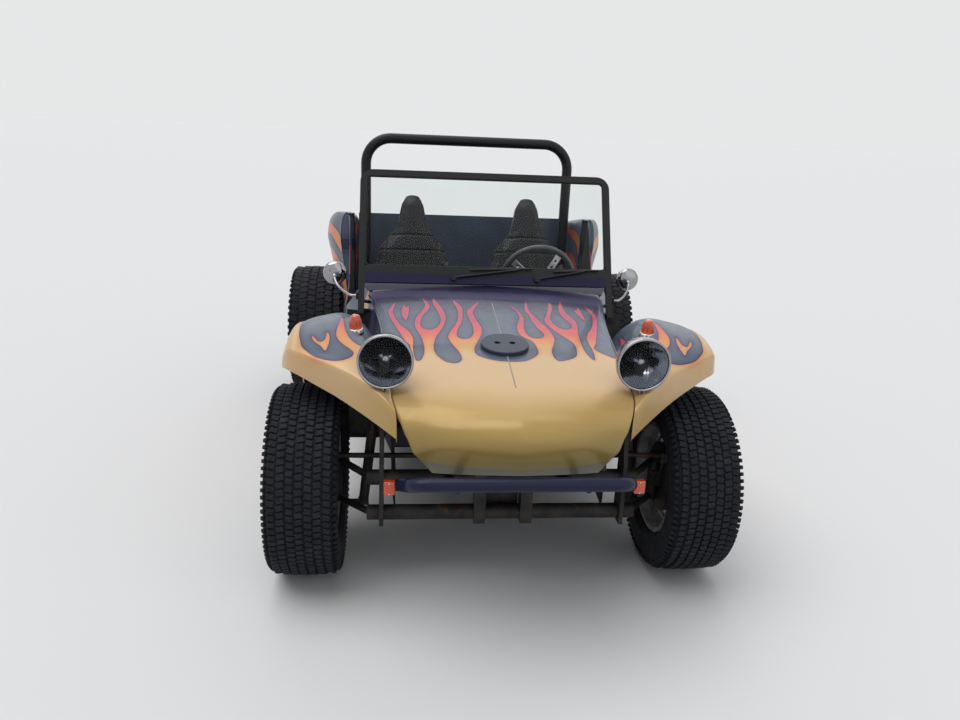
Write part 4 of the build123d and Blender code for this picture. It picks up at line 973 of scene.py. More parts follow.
def fitted(name, pieces, body="chassis", replaces=()):
    """Joins pieces into one that rides on a body, and hides the CAD nodes it replaces."""
    piece = joined(pieces)
    piece.name = name
    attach(piece, body)
    if replaces:
        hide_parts(*replaces)
    return piece


def both_sides(pieces):
    return pieces + [copied(piece, flip=True) for piece in pieces]


def hex_bolt(centre, axis, finish, size=7.0, height=5.0):
    """Hexagon head on a washer."""
    bpy.ops.mesh.primitive_cylinder_add(vertices=6, radius=size * MM, depth=height * MM,
                                        location=(0, 0, height * MM * 0.7))
    head = named("bolt", finish)
    bevelled(head, 0.8, 1, "ANGLE")
    bpy.ops.mesh.primitive_cylinder_add(vertices=16, radius=size * 1.45 * MM, depth=1.6 * MM,
                                        location=(0, 0, 0.8 * MM))
    joined([head, named("washer", finish)])
    head.matrix_world = facing(at(*centre), axis) @ Matrix.Translation(head.matrix_world.translation)
    return smooth(head, 30)


# Body skins
def moulded(name, points, finish, lining=None, wall=0.006, fields=None, angle=50):
    """A moulded skin through a grid of points (rows, columns, xyz in mm), with its thickness inwards."""
    rows, columns = points.shape[:2]
    bpy.ops.mesh.primitive_grid_add(x_subdivisions=columns - 1, y_subdivisions=rows - 1, size=1)
    piece = named(name, finish)
    mesh = piece.data
    put_vertices(mesh, points.reshape(-1, 3) * MM + (0, FRONT_AXLE_Y, 0))
    mesh.update()
    for key, values in (fields or {}).items():
        mesh.attributes.new(key, "FLOAT", "POINT").data.foreach_set("value", np.asarray(values, np.float32))
    mesh.materials.append((lining or finish).mat)
    solid = piece.modifiers.new("wall", "SOLIDIFY")
    solid.thickness, solid.offset, solid.material_offset = wall, -1, 1
    apply_all(piece)
    smooth(piece, angle)
    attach(piece, "chassis")
    return piece


def hood_fields(points):
    flat = points.reshape(-1, 3)
    front = np.vstack([rounded(HOOD_FLAMES, False), [(600, -60), (600, -700), (-600, -700), (-600, -60)]])
    return flame_fields(flat[:, :2], front, HOOD_LICKS, (flat[:, 1] + 60) / 300)


def fender_fields(points):
    y, z = points[..., 1].copy(), points[..., 2]
    # The face that tucks in under the foremost line is laid flat ahead of it
    for row in range(len(y)):
        k = np.argmin(y[row])
        y[row, :k] = y[row, k] - np.abs(z[row, k] - z[row, :k])
    flat = np.stack([np.abs(points[..., 0]), y], axis=-1).reshape(-1, 2)
    front = np.vstack([rounded(FENDER_FLAMES, False), [(250, -90), (250, -700), (900, -700), (900, 560)]])
    heat = np.clip((flat[:, 1] + 190) / 380, 0, 1) * np.clip((700 - flat[:, 0]) / 60, 0, 1)
    return flame_fields(flat, front, FENDER_LICKS, heat)


def side_fields(points):
    flat = points.reshape(-1, 3)
    front = np.vstack([rounded(SIDE_FLAMES, False), SIDE_FRONT])
    return flame_fields(flat[:, 1:], front, SIDE_LICKS, (flat[:, 1] - 560) / 800)


def quarter_fields(points):
    flat = points.reshape(-1, 3)
    return flame_fields(flat[:, 1:], None, QUARTER_LICKS, 0.35 + (flat[:, 1] - 1560) / 800)


def make_skins():
    """Painted body skins over the CAD panels."""
    paint, lining = flame_paint(), raw_laminate()
    grid = hood_grid()
    hood = moulded("hood_skin", grid, paint, lining, fields=hood_fields(grid))
    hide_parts("hood")
    for side, turn in (("left", lambda points: points), ("right", mirrored)):
        grid = turn(fender_grid())
        skin = moulded("fender_skin_" + side, grid, paint, lining, fields=fender_fields(grid))
        moulded("wheel_well_" + side, turn(well_grid()), lining)
        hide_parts("front_fender_" + side)
        grid = turn(side_grid())
        tub = moulded("tub_skin_" + side, grid, paint, lining, fields=side_fields(grid))
        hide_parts("tub_side_" + side)
        grid = turn(quarter_grid())
        quarter = moulded("quarter_skin_" + side, grid, paint, lining, fields=quarter_fields(grid))
        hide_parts("rear_quarter_" + side)


# Lamps
LAMP, LAMP_R = (400, -285, 849), 86.0
# Height of the rings pressed in a dome, and of the flutes in a headlamp's lens
RING, FLUTE = 0.8, 0.8


def parabola(radius, depth, lip, wall):
    """Closed section of a bowl-shaped reflector, open end at lip."""
    r = np.linspace(0, radius, 14)
    inner = [(a, lip - depth * (1 - (a / radius) ** 2)) for a in r]
    return inner + [(a + wall * 0.3, d - wall) for a, d in reversed(inner[1:])] + [(0, lip - depth - wall)]


def fluted_lens(name, radius, bulge, base, flute, centre, finish):
    """Round lens with a domed front and upright flutes pressed in it."""
    rings = np.linspace(0, radius, 27)
    front = [(r, base + bulge * (1 - (r / radius) ** 2)) for r in rings]
    back = [(r, d - 3.0) for r, d in reversed(front)]
    lens = turned(name, front + back, (0, 0, 0), (0, 0, 1), finish, steps=220, angle=60)
    co = vertices(lens.data)
    r = np.hypot(co[:, 0], co[:, 1]) / MM
    ripple = np.cos(co[:, 0] / MM * 2 * np.pi / flute) * np.clip((radius - 4 - r) / 6, 0, 1)
    co[:, 2] += ripple * FLUTE * MM
    put_vertices(lens.data, co)
    lens.matrix_world = Matrix.Translation(at(*centre)) @ Matrix.Rotation(math.radians(90), 4, "X")
    return smooth(lens, 60)


def make_headlamps():
    """Bright bowls with a rim, a deep reflector, a bulb and a fluted lens, each on a cast foot."""
    bright, silver, dark, clear = aged_chrome(), reflector(), lamp_back(), lamp_glass()
    centre, ahead = at(*LAMP), (0, -1, 0)
    shell = [(LAMP_R - 4, 9), (LAMP_R - 1, 9), (LAMP_R, 6), (LAMP_R, -8), (LAMP_R - 2, -11),
             (LAMP_R - 5, -12), (LAMP_R - 6, -24), (LAMP_R * 0.9, -43), (LAMP_R * 0.83, -60),
             (LAMP_R * 0.75, -72), (LAMP_R * 0.65, -86), (LAMP_R * 0.54, -97), (LAMP_R * 0.4, -108),
             (LAMP_R * 0.22, -116), (0, -119), (0, -116), (LAMP_R * 0.22, -113), (LAMP_R * 0.5, -94),
             (LAMP_R * 0.72, -69), (LAMP_R * 0.86, -42), (LAMP_R - 8, -12)]
    bowl = turned("bowl", shell, centre, ahead, bright, steps=64, angle=40)
    rim_turn = np.linspace(-0.3, 1.25, 9) * math.pi
    rim = [(LAMP_R - 4 + 4 * math.cos(a), 9 + 4 * math.sin(a)) for a in rim_turn]
    rim = turned("rim", rim + [(LAMP_R - 8.2, 7), (LAMP_R - 6, 4)], centre, ahead, bright, steps=72)
    mirror = turned("reflector", parabola(LAMP_R - 9, 66, 6, 2), centre, ahead, silver, steps=48, angle=60)
    bulb = turned("bulb", [(0, -58), (9, -58), (9, -46), (7, -44), (7, -34), (8, -30), (6, -25), (0, -23)],
                  centre, ahead, clear, steps=24, angle=50)
    shield = turned("shield", [(0, -20), (8, -21), (11, -25), (11, -27), (7, -23), (0, -22)], centre, ahead,
                    bright, steps=24, angle=50)
    lens = fluted_lens("lens", LAMP_R - 8.3, 13, 9, 11, LAMP, clear)
    x, y, z = LAMP
    foot = turned("foot", [(0, -76), (20, -76), (21, -70), (16, -62), (13, -48), (13, -30), (17, -22),
                           (17, -10), (0, -6)], at(x + 4, y + 45, z + 1), (0, 0, 1), dark, steps=28)
    bolt = hex_bolt((x + 4, y + 23, z - 13), (0, -0.9, -0.4), dark, 5, 5)
    screw = turned("screw", [(0, 0), (4.5, 0), (4.5, 3), (2.5, 5), (0, 5.5)], at(x, y - 9, z - LAMP_R - 1),
                   (0, -1, 0), dark, steps=16)
    ear = block("ear", (x, y - 5, z - LAMP_R - 1), (16, 10, 8), bright, 1.5)
    fitted("headlamp_shells", both_sides([bowl, rim, foot, bolt, screw, ear]),
           replaces=("headlamp_bowls",))
    fitted("headlamp_reflectors", both_sides([mirror, bulb, shield]))
    fitted("headlamp_glasses", both_sides([lens]), replaces=("headlamp_lenses",))


def ringed_dome(radius, height, base, rings):
    """Closed section of a lens dome with pressed rings."""
    steps = rings * 6
    t = np.linspace(0, 1, steps)
    r = radius * np.cos(t * math.pi / 2) ** 0.55
    d = base + height * np.sin(t * math.pi / 2) + RING * np.cos(t * rings * 2 * math.pi) * (1 - t)
    r[-1] = 0
    return [(0, base - 2), (radius, base - 2)] + list(zip(r, d))


def make_amber_lamps():
    """Domed lamps on the fenders and square ones by the bumper."""
    orange, bright, dark = amber_glass(), chrome(), lamp_back()
    tilt, top = (0.0, -0.12, 1), at(507, 30, 862)
    cup = turned("cup", [(0, -8), (25, -8), (26, -4), (25.5, 2), (24, 7), (22.5, 8), (20, 8), (20, 4),
                         (0, 4)],
                 top, tilt, bright, steps=40)
    gasket = turned("gasket", [(0, -12), (28, -12), (28, -8), (26, -5), (0, -5)], top, tilt, dark, steps=40)
    dome = turned("dome", ringed_dome(22, 48, 8, 8), top, tilt, orange, steps=40, angle=60)
    corner, size = (383, -416, 495), (34, 22, 42)
    lens = [block("lens", corner, size, orange, 3, segments=3)]
    for k in range(7):
        lens.append(block("rib", (corner[0], corner[1] - 11, corner[2] - 17 + k * 5.6), (30, 3, 3.2), orange,
                          1.2))
    back = block("back", (corner[0], corner[1] + 12, corner[2]), (37, 3.5, 45), dark, 1.2)
    screws = [turned("screw", [(0, 0), (2.6, 0), (2.6, 1), (1.5, 2), (0, 2.2)],
                     at(corner[0], corner[1] - 11.5, corner[2] + s * 17), (0, -1, 0), bright, steps=12)
              for s in (-1, 1)]
    fitted("lamp_bases", both_sides([cup, gasket, back] + screws))
    fitted("amber_lenses", both_sides([dome] + lens), replaces=("amber_lamps",))


def make_tail_lamps():
    """Round red lamps with a bright bezel."""
    centre, back = at(645, 2306.5, 800), (0, 1, 0)
    red, bright, dark = red_glass(), chrome(), lamp_back()
    base = turned("base", [(0, 0), (36, 0), (37, 3), (35, 8), (0, 8)], centre, back, dark)
    bezel = turned("bezel", [(30, 6), (38, 6), (38, 12), (36.5, 17), (33, 20), (30, 18)], centre, back,
                   bright)
    lens = turned("lens", ringed_dome(31, 13, 16, 5), centre, back, red, angle=60)
    fitted("tail_lamp_bezels", both_sides([base, bezel]))
    fitted("tail_lamp_glasses", both_sides([lens]), replaces=("tail_lamps",))


def make_mirrors():
    """Round bright mirrors on bent arms."""
    bright, mirror, dark = aged_chrome(), reflector("mirror_face", (0.55, 0.57, 0.6)), lamp_back()
    centre, rear = at(636, 752, 920), (0, 1, 0)
    shell = [(0, -13), (12, -12.6), (25, -10.5), (37, -6), (45, 0), (49, 6), (50, 10), (49, 13), (47, 13),
             (46, 9), (0, 9)]
    head = turned("head", shell, centre, rear, bright, steps=64, angle=50)
    face = turned("face", [(0, 9), (46.5, 9), (46.5, 11), (30, 11.8), (0, 12.3)], centre, rear, mirror,
                  steps=64)
    knuckle = turned("knuckle", [(0, -10), (7, -9), (9.5, -4), (9.5, 4), (7, 9), (0, 10)], at(636, 736, 912),
                     (0, 0.8, 0.6), bright, steps=24)
    arm = rod("arm", [(531, 600, 858), (545, 600, 858), (562, 603, 858), (600, 660, 868), (632, 712, 890),
                      (636, 735, 912)], 5, bright)
    clamp = block("clamp", (534, 602, 858), (9, 22, 30), dark, 2)
    fitted("mirror_heads", both_sides([head, face, knuckle, arm, clamp]),
           replaces=("mirrors",))


# Wheels
TYRES = [
    # place, y, tyre radius, half track, width, rim width, blocks across (x, width), pitches, skew
    ("front", 0, 333, 666, 235, 178,
     [(-86, 24), (-57, 24), (-28.5, 23), (0, 23), (28.5, 23), (57, 24), (86, 24)], 86, 12),
    ("rear", 2000, 360, 825, 300, 254,
     [(-113, 38), (-69, 40), (-23, 40), (23, 40), (69, 40), (113, 38)], 58, 14),
]
RIM_SEAT, RIM_FLANGE, TREAD_DEPTH = 190.8, 203, 9
# Drop of the tread's crown at this share of its half width, and at its edge
CROWN_SHARE, CROWN_DROP, EDGE_DROP = 0.6, 2, 9


def crown(x, tread, radius):
    """Radius of the tread at x across it, and its slope."""
    knee = CROWN_SHARE * tread
    drop = np.interp(abs(x), [0, knee, tread], [0, -CROWN_DROP, -EDGE_DROP])
    slope = -CROWN_DROP / knee if abs(x) < knee else (CROWN_DROP - EDGE_DROP) / (tread - knee)
    return radius + drop, math.copysign(slope, x) if slope * x else 0.0


def wheel_block(x, radius, size, lean, skew, shift, finish):
    """A tread block at the top of a wheel that turns about X, moved round it by shift degrees."""
    bpy.ops.mesh.primitive_cube_add(size=1)
    piece = named("tread_block", finish)
    piece.matrix_world = (Matrix.Rotation(math.radians(shift), 4, "X")
                          @ Matrix.Translation(Vector((x, 0, radius - size[2] / 2)) * MM)
                          @ Matrix.Rotation(lean, 4, "Y") @ Matrix.Rotation(math.radians(skew), 4, "Z")
                          @ Matrix.Diagonal((*(Vector(size) * MM), 1)))
    bpy.ops.object.transform_apply(location=True, rotation=True, scale=True)
    return piece


def ring_of(piece, count):
    """Repeats a piece round the X axis through the origin."""
    bpy.ops.object.empty_add(rotation=(2 * math.pi / count, 0, 0))
    step = bpy.context.object
    bpy.context.view_layer.update()
    array = piece.modifiers.new("ring", "ARRAY")
    array.count = count
    array.use_relative_offset, array.use_object_offset = False, True
    array.offset_object = step
    apply_all(piece)
    bpy.data.objects.remove(step)
    return piece


def make_tyres():
    """Carcass with its sidewall rings, and the tread blocks round it."""
    rubber = tyre_rubber()
    for place, y, radius, half_track, width, rim, columns, count, skew in TYRES:
        w, bead = width / 2, rim / 2 - 1
        tread, base = w - 16, radius - TREAD_DEPTH
        wall = [(RIM_SEAT, bead), (RIM_FLANGE + 4, bead), (RIM_FLANGE + 6, bead + 5),
                (RIM_FLANGE + 14, w - 12), (RIM_FLANGE + 22, w - 8), (RIM_FLANGE + 24, w - 5),
                (RIM_FLANGE + 28, w - 5), (RIM_FLANGE + 30, w - 6), (RIM_FLANGE + 44, w - 2.5),
                (radius - 66, w - 1), (radius - 63, w - 0.2), (radius - 57, w - 0.2), (radius - 54, w - 1.5),
                (radius - 44, w - 3), (radius - 30, w - 7), (radius - 20, tread - 1),
                (base - 4, tread * 0.8), (base, tread * 0.5)]
        section = wall + [(base + 1, 0)] + [(r, -x) for r, x in reversed(wall)]
        carcass = turned("carcass", section, (0, 0, 0), (1, 0, 0), rubber, steps=120, angle=32)
        pitch, length = 360 / count, 2 * math.pi * radius / count
        parts = []
        for k, (x, across) in enumerate(columns):
            top, slope = crown(x, tread, radius)
            lean = math.atan(-slope)
            sign = 1 if k % 2 else -1
            parts.append(wheel_block(x, top, (across, length - 5.5, 13), lean, sign * skew,
                                     pitch * (k % 2) / 2, rubber))
        for side in (-1, 1):
            parts.append(wheel_block(side * (tread + 5), radius - 15, (15, length * 0.5, 20), side * 0.85, 0,
                                     pitch * 0.25, rubber))
        row = bevelled(joined(parts), 1.3, 1)
        master = smooth(joined([carcass, ring_of(row, count)]), 32)
        for side, sign in (("left", 1), ("right", -1)):
            tyre = copied(master, name="tyre_copy")
            tyre.location = at(sign * half_track, y, radius)
            fitted(f"tread_{place}_{side}", [settled(tyre)], f"wheel_{place}_{side}",
                   (f"tyre_{place}_{side}",))
        bpy.data.objects.remove(master)


# Steering wheel
STEER_CENTRE, STEER_AXIS = (290, 1078, 862), (0, 0.9135, 0.4067)
STEER_R, GRIP_R, FINGER_WAVES, SCREW_RING = 165, 13, 32, 28.5


def make_steering_grip():
    """Moulded rim cover with finger waves on its inner side, and the horn button."""
    grip, bright = rim_leather(), chrome()
    bpy.ops.mesh.primitive_torus_add(major_segments=FINGER_WAVES * 6, minor_segments=18,
                                     major_radius=STEER_R * MM, minor_radius=(GRIP_R + 0.4) * MM)
    piece = named("grip", grip)
    co = vertices(piece.data)
    turn, r = np.arctan2(co[:, 1], co[:, 0]), np.hypot(co[:, 0], co[:, 1])
    inward = np.clip((STEER_R * MM - r) / (GRIP_R * MM), 0, 1)
    swell = 2.4 * MM * inward * (0.5 + 0.5 * np.cos(turn * FINGER_WAVES))
    co[:, 0] -= np.cos(turn) * swell
    co[:, 1] -= np.sin(turn) * swell
    put_vertices(piece.data, co)
    piece.matrix_world = facing(at(*STEER_CENTRE), STEER_AXIS)
    smooth(piece, 60)
    hub = at(*STEER_CENTRE) - Vector(STEER_AXIS) * 45 * MM
    horn = turned("horn", [(0, 10), (26, 10), (30, 15), (28, 19), (22, 22), (20, 21), (8, 23), (0, 23.5)],
                  hub, STEER_AXIS, bright)
    screws = []
    for k in range(6):
        a = math.radians(60 * k + 10)
        place = facing(hub, STEER_AXIS) @ (Vector((SCREW_RING * math.cos(a), SCREW_RING * math.sin(a),
                                                   10)) * MM)
        screws.append(turned("screw", [(0, 0), (2.6, 0), (2.6, 3), (1.4, 4), (0, 4)], place, STEER_AXIS,
                             bright, steps=12))
    fitted("steering_grip", [piece], "steering_wheel_body")
    fitted("horn_button", [horn] + screws, "steering_wheel_body")


# Seats
# Left seat: its middle, its front, the foot of its back behind that, and the back's lean
SEAT_X, SEAT_Y, BACK_Y, BACK_Z, BACK_LEAN = 302, 1060, 375, 380, 17
# Padding in metres: fineness, how far it is drawn in and may then swell, and its lowest height
PAD_VOXEL, PAD_SHRINK, PAD_CAP, PAD_FOOT = 0.0095, 0.007, 0.022, 0.272
CLOTH_FRAMES, CLOTH_PRESSURE = 20, 4
CHANNELS, HEAD_LIFT = (-96, -48, 0, 48, 96), 30


def swollen(piece):
    """Blows a closed body up as cloth and keeps each point within a short way of its start."""
    cloth = piece.modifiers.new("padding", "CLOTH")
    cloth.settings.use_pressure = True
    cloth.settings.uniform_pressure_force = CLOTH_PRESSURE
    cloth.settings.effector_weights.gravity = 0
    cloth.collision_settings.use_collision = False
    cloth.point_cache.frame_end = CLOTH_FRAMES
    scene = bpy.context.scene
    for step in range(1, CLOTH_FRAMES + 1):
        scene.frame_set(step)
    seen = piece.evaluated_get(bpy.context.evaluated_depsgraph_get()).data
    start = vertices(piece.data)
    move = vertices(seen) - start
    far = np.linalg.norm(move, axis=1, keepdims=True)
    move *= np.minimum(1, PAD_CAP / np.maximum(far, 1e-9))
    piece.modifiers.remove(cloth)
    put_vertices(piece.data, start + move)
    scene.frame_set(1)
    return piece


def groove(across, line, depth, width=4.5):
    return depth * np.exp(-((across - line) / width) ** 2)


def sewn(piece):
    """Presses the sewn channels and seams into the seat's face."""
    mesh = piece.data
    co, normal = vertices(mesh), vertices(mesh, "normal")
    u = co[:, 0] / MM - SEAT_X
    y, z = (co[:, 1] - FRONT_AXLE_Y) / MM - SEAT_Y - BACK_Y, co[:, 2] / MM - BACK_Z
    lean = math.radians(BACK_LEAN)
    up = z * math.cos(lean) + y * math.sin(lean)
    forward = -normal[:, 1] * math.cos(lean) + normal[:, 2] * math.sin(lean)
    # The head rest narrows to its top and stands a little higher
    rise = np.clip((up - 560) / 260, 0, 1)
    co[:, 0] -= u * MM * 0.5 * rise ** 1.4
    co[:, 2] -= 24 * MM * rise ** 3 * np.clip(np.abs(u) / 90, 0, 1) ** 2
    co[:, 1] += HEAD_LIFT * MM * rise * math.sin(lean)
    co[:, 2] += HEAD_LIFT * MM * rise * math.cos(lean)
    depth = np.zeros(len(co))
    back = (forward > 0.55) & (up > 90)
    cushion = (normal[:, 2] > 0.6) & (z < 90)
    for line in CHANNELS:
        depth += groove(u, line, -6.5) * ((back & (up < 520)) | cushion)
    for line in (-136, 136):
        depth += (groove(u, line, -6) + groove(u, line * 1.07, 3, 4)) * (back & (up < 600))
    for height in (525, 600):
        depth += groove(up, height, -6) * (back & (np.abs(u) < 190))
    co += normal * (depth * MM)[:, None]
    put_vertices(mesh, co)
    mesh.update()
    return piece


def make_seats():
    """Padded high-back seats in black vinyl on steel rails."""
    vinyl, steel = seat_vinyl(), chassis_black()
    source = NODES["seat_left"]
    pad = bpy.data.objects.new("seat_pad_left", source.data.copy())
    bpy.context.scene.collection.objects.link(pad)
    only(pad)
    cut = {"plane_co": (0, 0, PAD_FOOT), "plane_no": (0, 0, 1), "clear_inner": True, "use_fill": True}
    edited((bpy.ops.mesh.remove_doubles, {"threshold": 1e-5}), (bpy.ops.mesh.bisect, cut))
    voxels = pad.modifiers.new("voxels", "REMESH")
    voxels.mode, voxels.voxel_size = "VOXEL", PAD_VOXEL
    shrink = pad.modifiers.new("shrink", "DISPLACE")
    shrink.strength, shrink.mid_level = -PAD_SHRINK, 0
    relax = pad.modifiers.new("relax", "SMOOTH")
    relax.iterations = 4
    apply_all(pad)
    swollen(pad)
    finer = pad.modifiers.new("finer", "SUBSURF")
    finer.levels = finer.render_levels = 1
    apply_all(pad)
    sewn(pad)
    pad.data.materials.clear()
    pad.data.materials.append(vinyl.mat)
    only(pad)
    bpy.ops.object.shade_smooth()
    twin = copied(pad, move=(-2 * SEAT_X, 0, 0), name="seat_pad_right")
    for piece, side in ((pad, "left"), (twin, "right")):
        fitted("seat_pad_" + side, [piece], replaces=("seat_" + side,))
    rails = []
    for x in (-175, 175):
        rails.append(block("rail", (SEAT_X + x, SEAT_Y + 160, 268), (34, 330, 20), steel, 2))
        rails.append(block("runner", (SEAT_X + x, SEAT_Y + 160, 287), (22, 300, 20), steel, 2))
        for y in (20, 300):
            rails.append(hex_bolt((SEAT_X + x + 12, SEAT_Y + y, 277), (0, 0, 1), steel, 5, 4))
    twins = [copied(piece, move=(-2 * SEAT_X, 0, 0)) for piece in rails]
    fitted("seat_rails", rails + twins)


# Engine and exhaust
# Height and radius of the pulleys; places along the car; the muffler's middle as y, z
CRANK, GENERATOR = (400, 84), (640, 62)
BELT_Y, CARBURETTOR_Y, MUFFLER = 2526, 2405, (2578, 330)
# Fan housing: its back, its middle height and the ring its screws stand on
FAN_Y, FAN_Z, FAN_RING = 2300, 700, 155


def around(centre_z, radius, start, end):
    """Points on part of a circle in the belt's plane; degrees from +X towards +Z."""
    turns = np.radians(np.linspace(start, end, 9))
    return [(radius * math.cos(a), BELT_Y, centre_z + radius * math.sin(a)) for a in turns]


def pulley(radius, z, steel):
    """Pressed pulley halves with a groove between them, and the nut on the shaft."""
    section = [(0, -2), (radius - 16, -2), (radius - 12, -8), (radius + 2, -11), (radius + 3, -9),
               (radius - 8, -2), (radius - 8, 2), (radius + 3, 9), (radius + 2, 11), (radius - 12, 8),
               (radius - 20, 4), (24, 4), (20, 10), (0, 10)]
    disc = turned("pulley", section, at(0, BELT_Y, z), (0, 1, 0), steel, steps=64, angle=30)
    return [disc, hex_bolt((0, BELT_Y + 9, z), (0, 1, 0), steel, 14, 10)]


def make_belt_drive():
    """Pulleys of crankshaft and generator, with the fan belt round them."""
    steel, rubber = pulley_steel(), grip_rubber()
    parts = pulley(CRANK[1] - 4, CRANK[0], steel) + pulley(GENERATOR[1] - 6, GENERATOR[0], steel)
    lean = math.degrees(math.asin((CRANK[1] - GENERATOR[1]) / (GENERATOR[0] - CRANK[0])))
    low = around(CRANK[0], CRANK[1] - 6, 180 + lean, 360 - lean)
    high = around(GENERATOR[0], GENERATOR[1] - 8, -lean, 180 + lean)
    belt = rod("belt", low + high, 5.5, rubber, closed=True)
    shaft = [turned("shaft", [(0, 0), (22, 0), (22, 26), (0, 26)], at(0, BELT_Y - 26, z), (0, 1, 0), steel,
                    steps=24) for z in (CRANK[0], GENERATOR[0])]
    fitted("belt_drive", parts + shaft)
    fitted("fan_belt", [belt])


def make_fan_cover():
    """Pressed rings and ribs on the fan housing, its screws, and the generator's strap."""
    tin, steel = chassis_black(), pulley_steel()
    centre, back, low = at(0, FAN_Y, FAN_Z), (0, 1, 0), GENERATOR[0]
    dish = turned("dish", [(60, 0), (150, 0), (158, 3), (163, 3), (166, 0), (166, 6), (160, 12), (148, 16),
                           (118, 18), (112, 14), (96, 14), (90, 18), (62, 20)], centre, back, tin, steps=72)
    parts = [dish]
    for k in range(8):
        a = math.radians(45 * k + 22.5)
        place = (FAN_RING * math.cos(a), FAN_Y + 10, FAN_Z + FAN_RING * math.sin(a))
        parts.append(hex_bolt(place, back, steel, 5, 4))
    strap = turned("strap", [(52.5, -12), (54.5, -12), (54.5, 12), (52.5, 12)], at(0, 2400, low), back,
                   steel, steps=48)
    ends = [turned("end", [(0, 0), (54, 0), (55, 2), (55, 8), (53, 10), (0, 10)], at(0, y, low), back, steel)
            for y in (2310, 2462)]
    slots = [block("slot", (48 * math.cos(a), 2475, low + 48 * math.sin(a)), (10, 8, 4), tin, 1,
                   turn=(0, -math.degrees(a), 0)) for a in np.linspace(0, 2 * math.pi, 8, endpoint=False)]
    fitted("fan_housing_tin", parts + [strap] + ends + slots)


def make_carburettor():
    """Carburettor, its manifold to both heads, and the round air cleaner on top."""
    alloy, tin, steel = cast_alloy(), black_paint(), pulley_steel()
    y = CARBURETTOR_Y
    flange = block("flange", (0, y, 703), (74, 44, 9), alloy, 2.5)
    throat = turned("throat", [(0, 0), (24, 0), (24, 10), (20, 14), (20, 34), (27, 38), (27, 56), (22, 60),
                               (0, 60)],
                    at(0, y, 707), (0, 0, 1), alloy, steps=40)
    bowl = block("bowl", (0, y + 28, 734), (48, 40, 38), alloy, 6, segments=3)
    cap = block("cap", (0, y + 28, 757), (52, 44, 8), alloy, 2.5)
    lever = rod("lever", [(24, y, 722), (46, y, 722), (50, y + 6, 716), (50, y + 24, 704)], 3, steel)
    rise = [rod("manifold", [(0, y, 700), (s * 26, y, 694), (s * 60, y, 690), (s * 170, y, 672),
                             (s * 255, y - 4, 642), (s * 318, y - 20, 560), (s * 330, y - 35, 470)], 14,
                alloy) for s in (-1, 1)]
    feet = [block("foot", (s * 330, y - 38, 472), (66, 46, 12), alloy, 3) for s in (-1, 1)]
    cleaner = turned("cleaner", [(0, 0), (30, 0), (32, 6), (74, 12), (80, 16), (81, 22), (78, 25), (78, 52),
                                 (81, 55), (80, 61), (70, 66), (40, 68), (36, 72), (0, 72)], at(0, y, 766),
                     (0, 0, 1), tin, steps=72, angle=28)
    pleats = turned("pleats", [(76, 26), (78.5, 26), (78.5, 51), (76, 51)], at(0, y, 766), (0, 0, 1), steel,
                    steps=90)
    nut = [turned("nut", [(0, 0), (9, 0), (10, 3), (7, 7), (5, 14), (0, 15)], at(0, y, 837), (0, 0, 1),
                  steel, steps=20),
           block("wing", (0, y, 850), (30, 4, 10), steel, 1.8)]
    fitted("carburettor", [flange, throat, bowl, cap, lever] + rise + feet)
    fitted("air_cleaner", [cleaner, pleats] + nut)


def make_muffler_trim():
    """Crimped muffler ends, clamps and the strap round it."""
    rust, steel = rusty_steel(), pulley_steel()
    y, z = MUFFLER
    parts = []
    for side in (-1, 1):
        parts.append(turned("crimp", [(48, 0), (59.5, 0), (60.5, 2), (60.5, 5), (59, 7), (52, 4), (46, 1)],
                            at(side * 277, y, z), (side, 0, 0), rust, steps=56))
        parts.append(turned("strap", [(58.2, -10), (59.8, -10), (59.8, 10), (58.2, 10)],
                            at(side * 120, y, z), (1, 0, 0), steel, steps=56))
        parts.append(turned("clamp", [(19, -8), (22, -8), (22, 8), (19, 8)], at(side * 335, 2430, 262),
                            (0, 1, 0), steel, steps=32))
        parts.append(hex_bolt((side * 335, 2430, 285), (0, 0, 1), steel, 6, 6))
        for x in (-18, 18):
            parts.append(hex_bolt((side * 120 + x * 0.2, y - 52, z + 36), (0, -0.5, 0.8), steel, 5, 4))
    fitted("muffler_trim", parts)


# Cab
DASH_Y, DASH_Z, RAIL_Z, DIAL_SWEEP = 700, 800, 805, 240


def gauge(x, z, radius, ticks):
    """Round instrument on the dash: bezel, dark face with tick marks, needle and glass."""
    bright, dark, white = chrome(), lamp_back(), dial_white()
    centre, rear = at(x, DASH_Y, z), (0, 1, 0)
    parts = [turned("bezel", [(radius - 5, 0), (radius + 2, 0), (radius + 2, 5), (radius, 9),
                              (radius - 3, 10), (radius - 5, 6)], centre, rear, bright, steps=56),
             turned("face", [(0, 0), (radius - 4, 0), (radius - 4, 4), (0, 4)], centre, rear, dark,
                    steps=48)]
    for k in range(ticks):
        a = math.radians(DIAL_SWEEP * (k / (ticks - 1) - 0.5))
        long = 1.6 if k % 2 == 0 else 1.0
        reach = radius - 9 - 2 * long
        parts.append(block("tick", (x + reach * math.sin(a), DASH_Y + 4.3, z + reach * math.cos(a)),
                           (1.4, 1, 4 * long), white, 0.2, turn=(0, math.degrees(a), 0), segments=1))
    needle = block("needle", (x - radius * 0.2, DASH_Y + 5.5, z + radius * 0.22), (1.8, 1, radius * 0.62),
                   white, 0.3, turn=(0, -42, 0), segments=1)
    hub = turned("hub", [(0, 4), (5, 4), (5, 7), (0, 8)], centre, rear, dark, steps=20)
    return parts + [needle, hub]


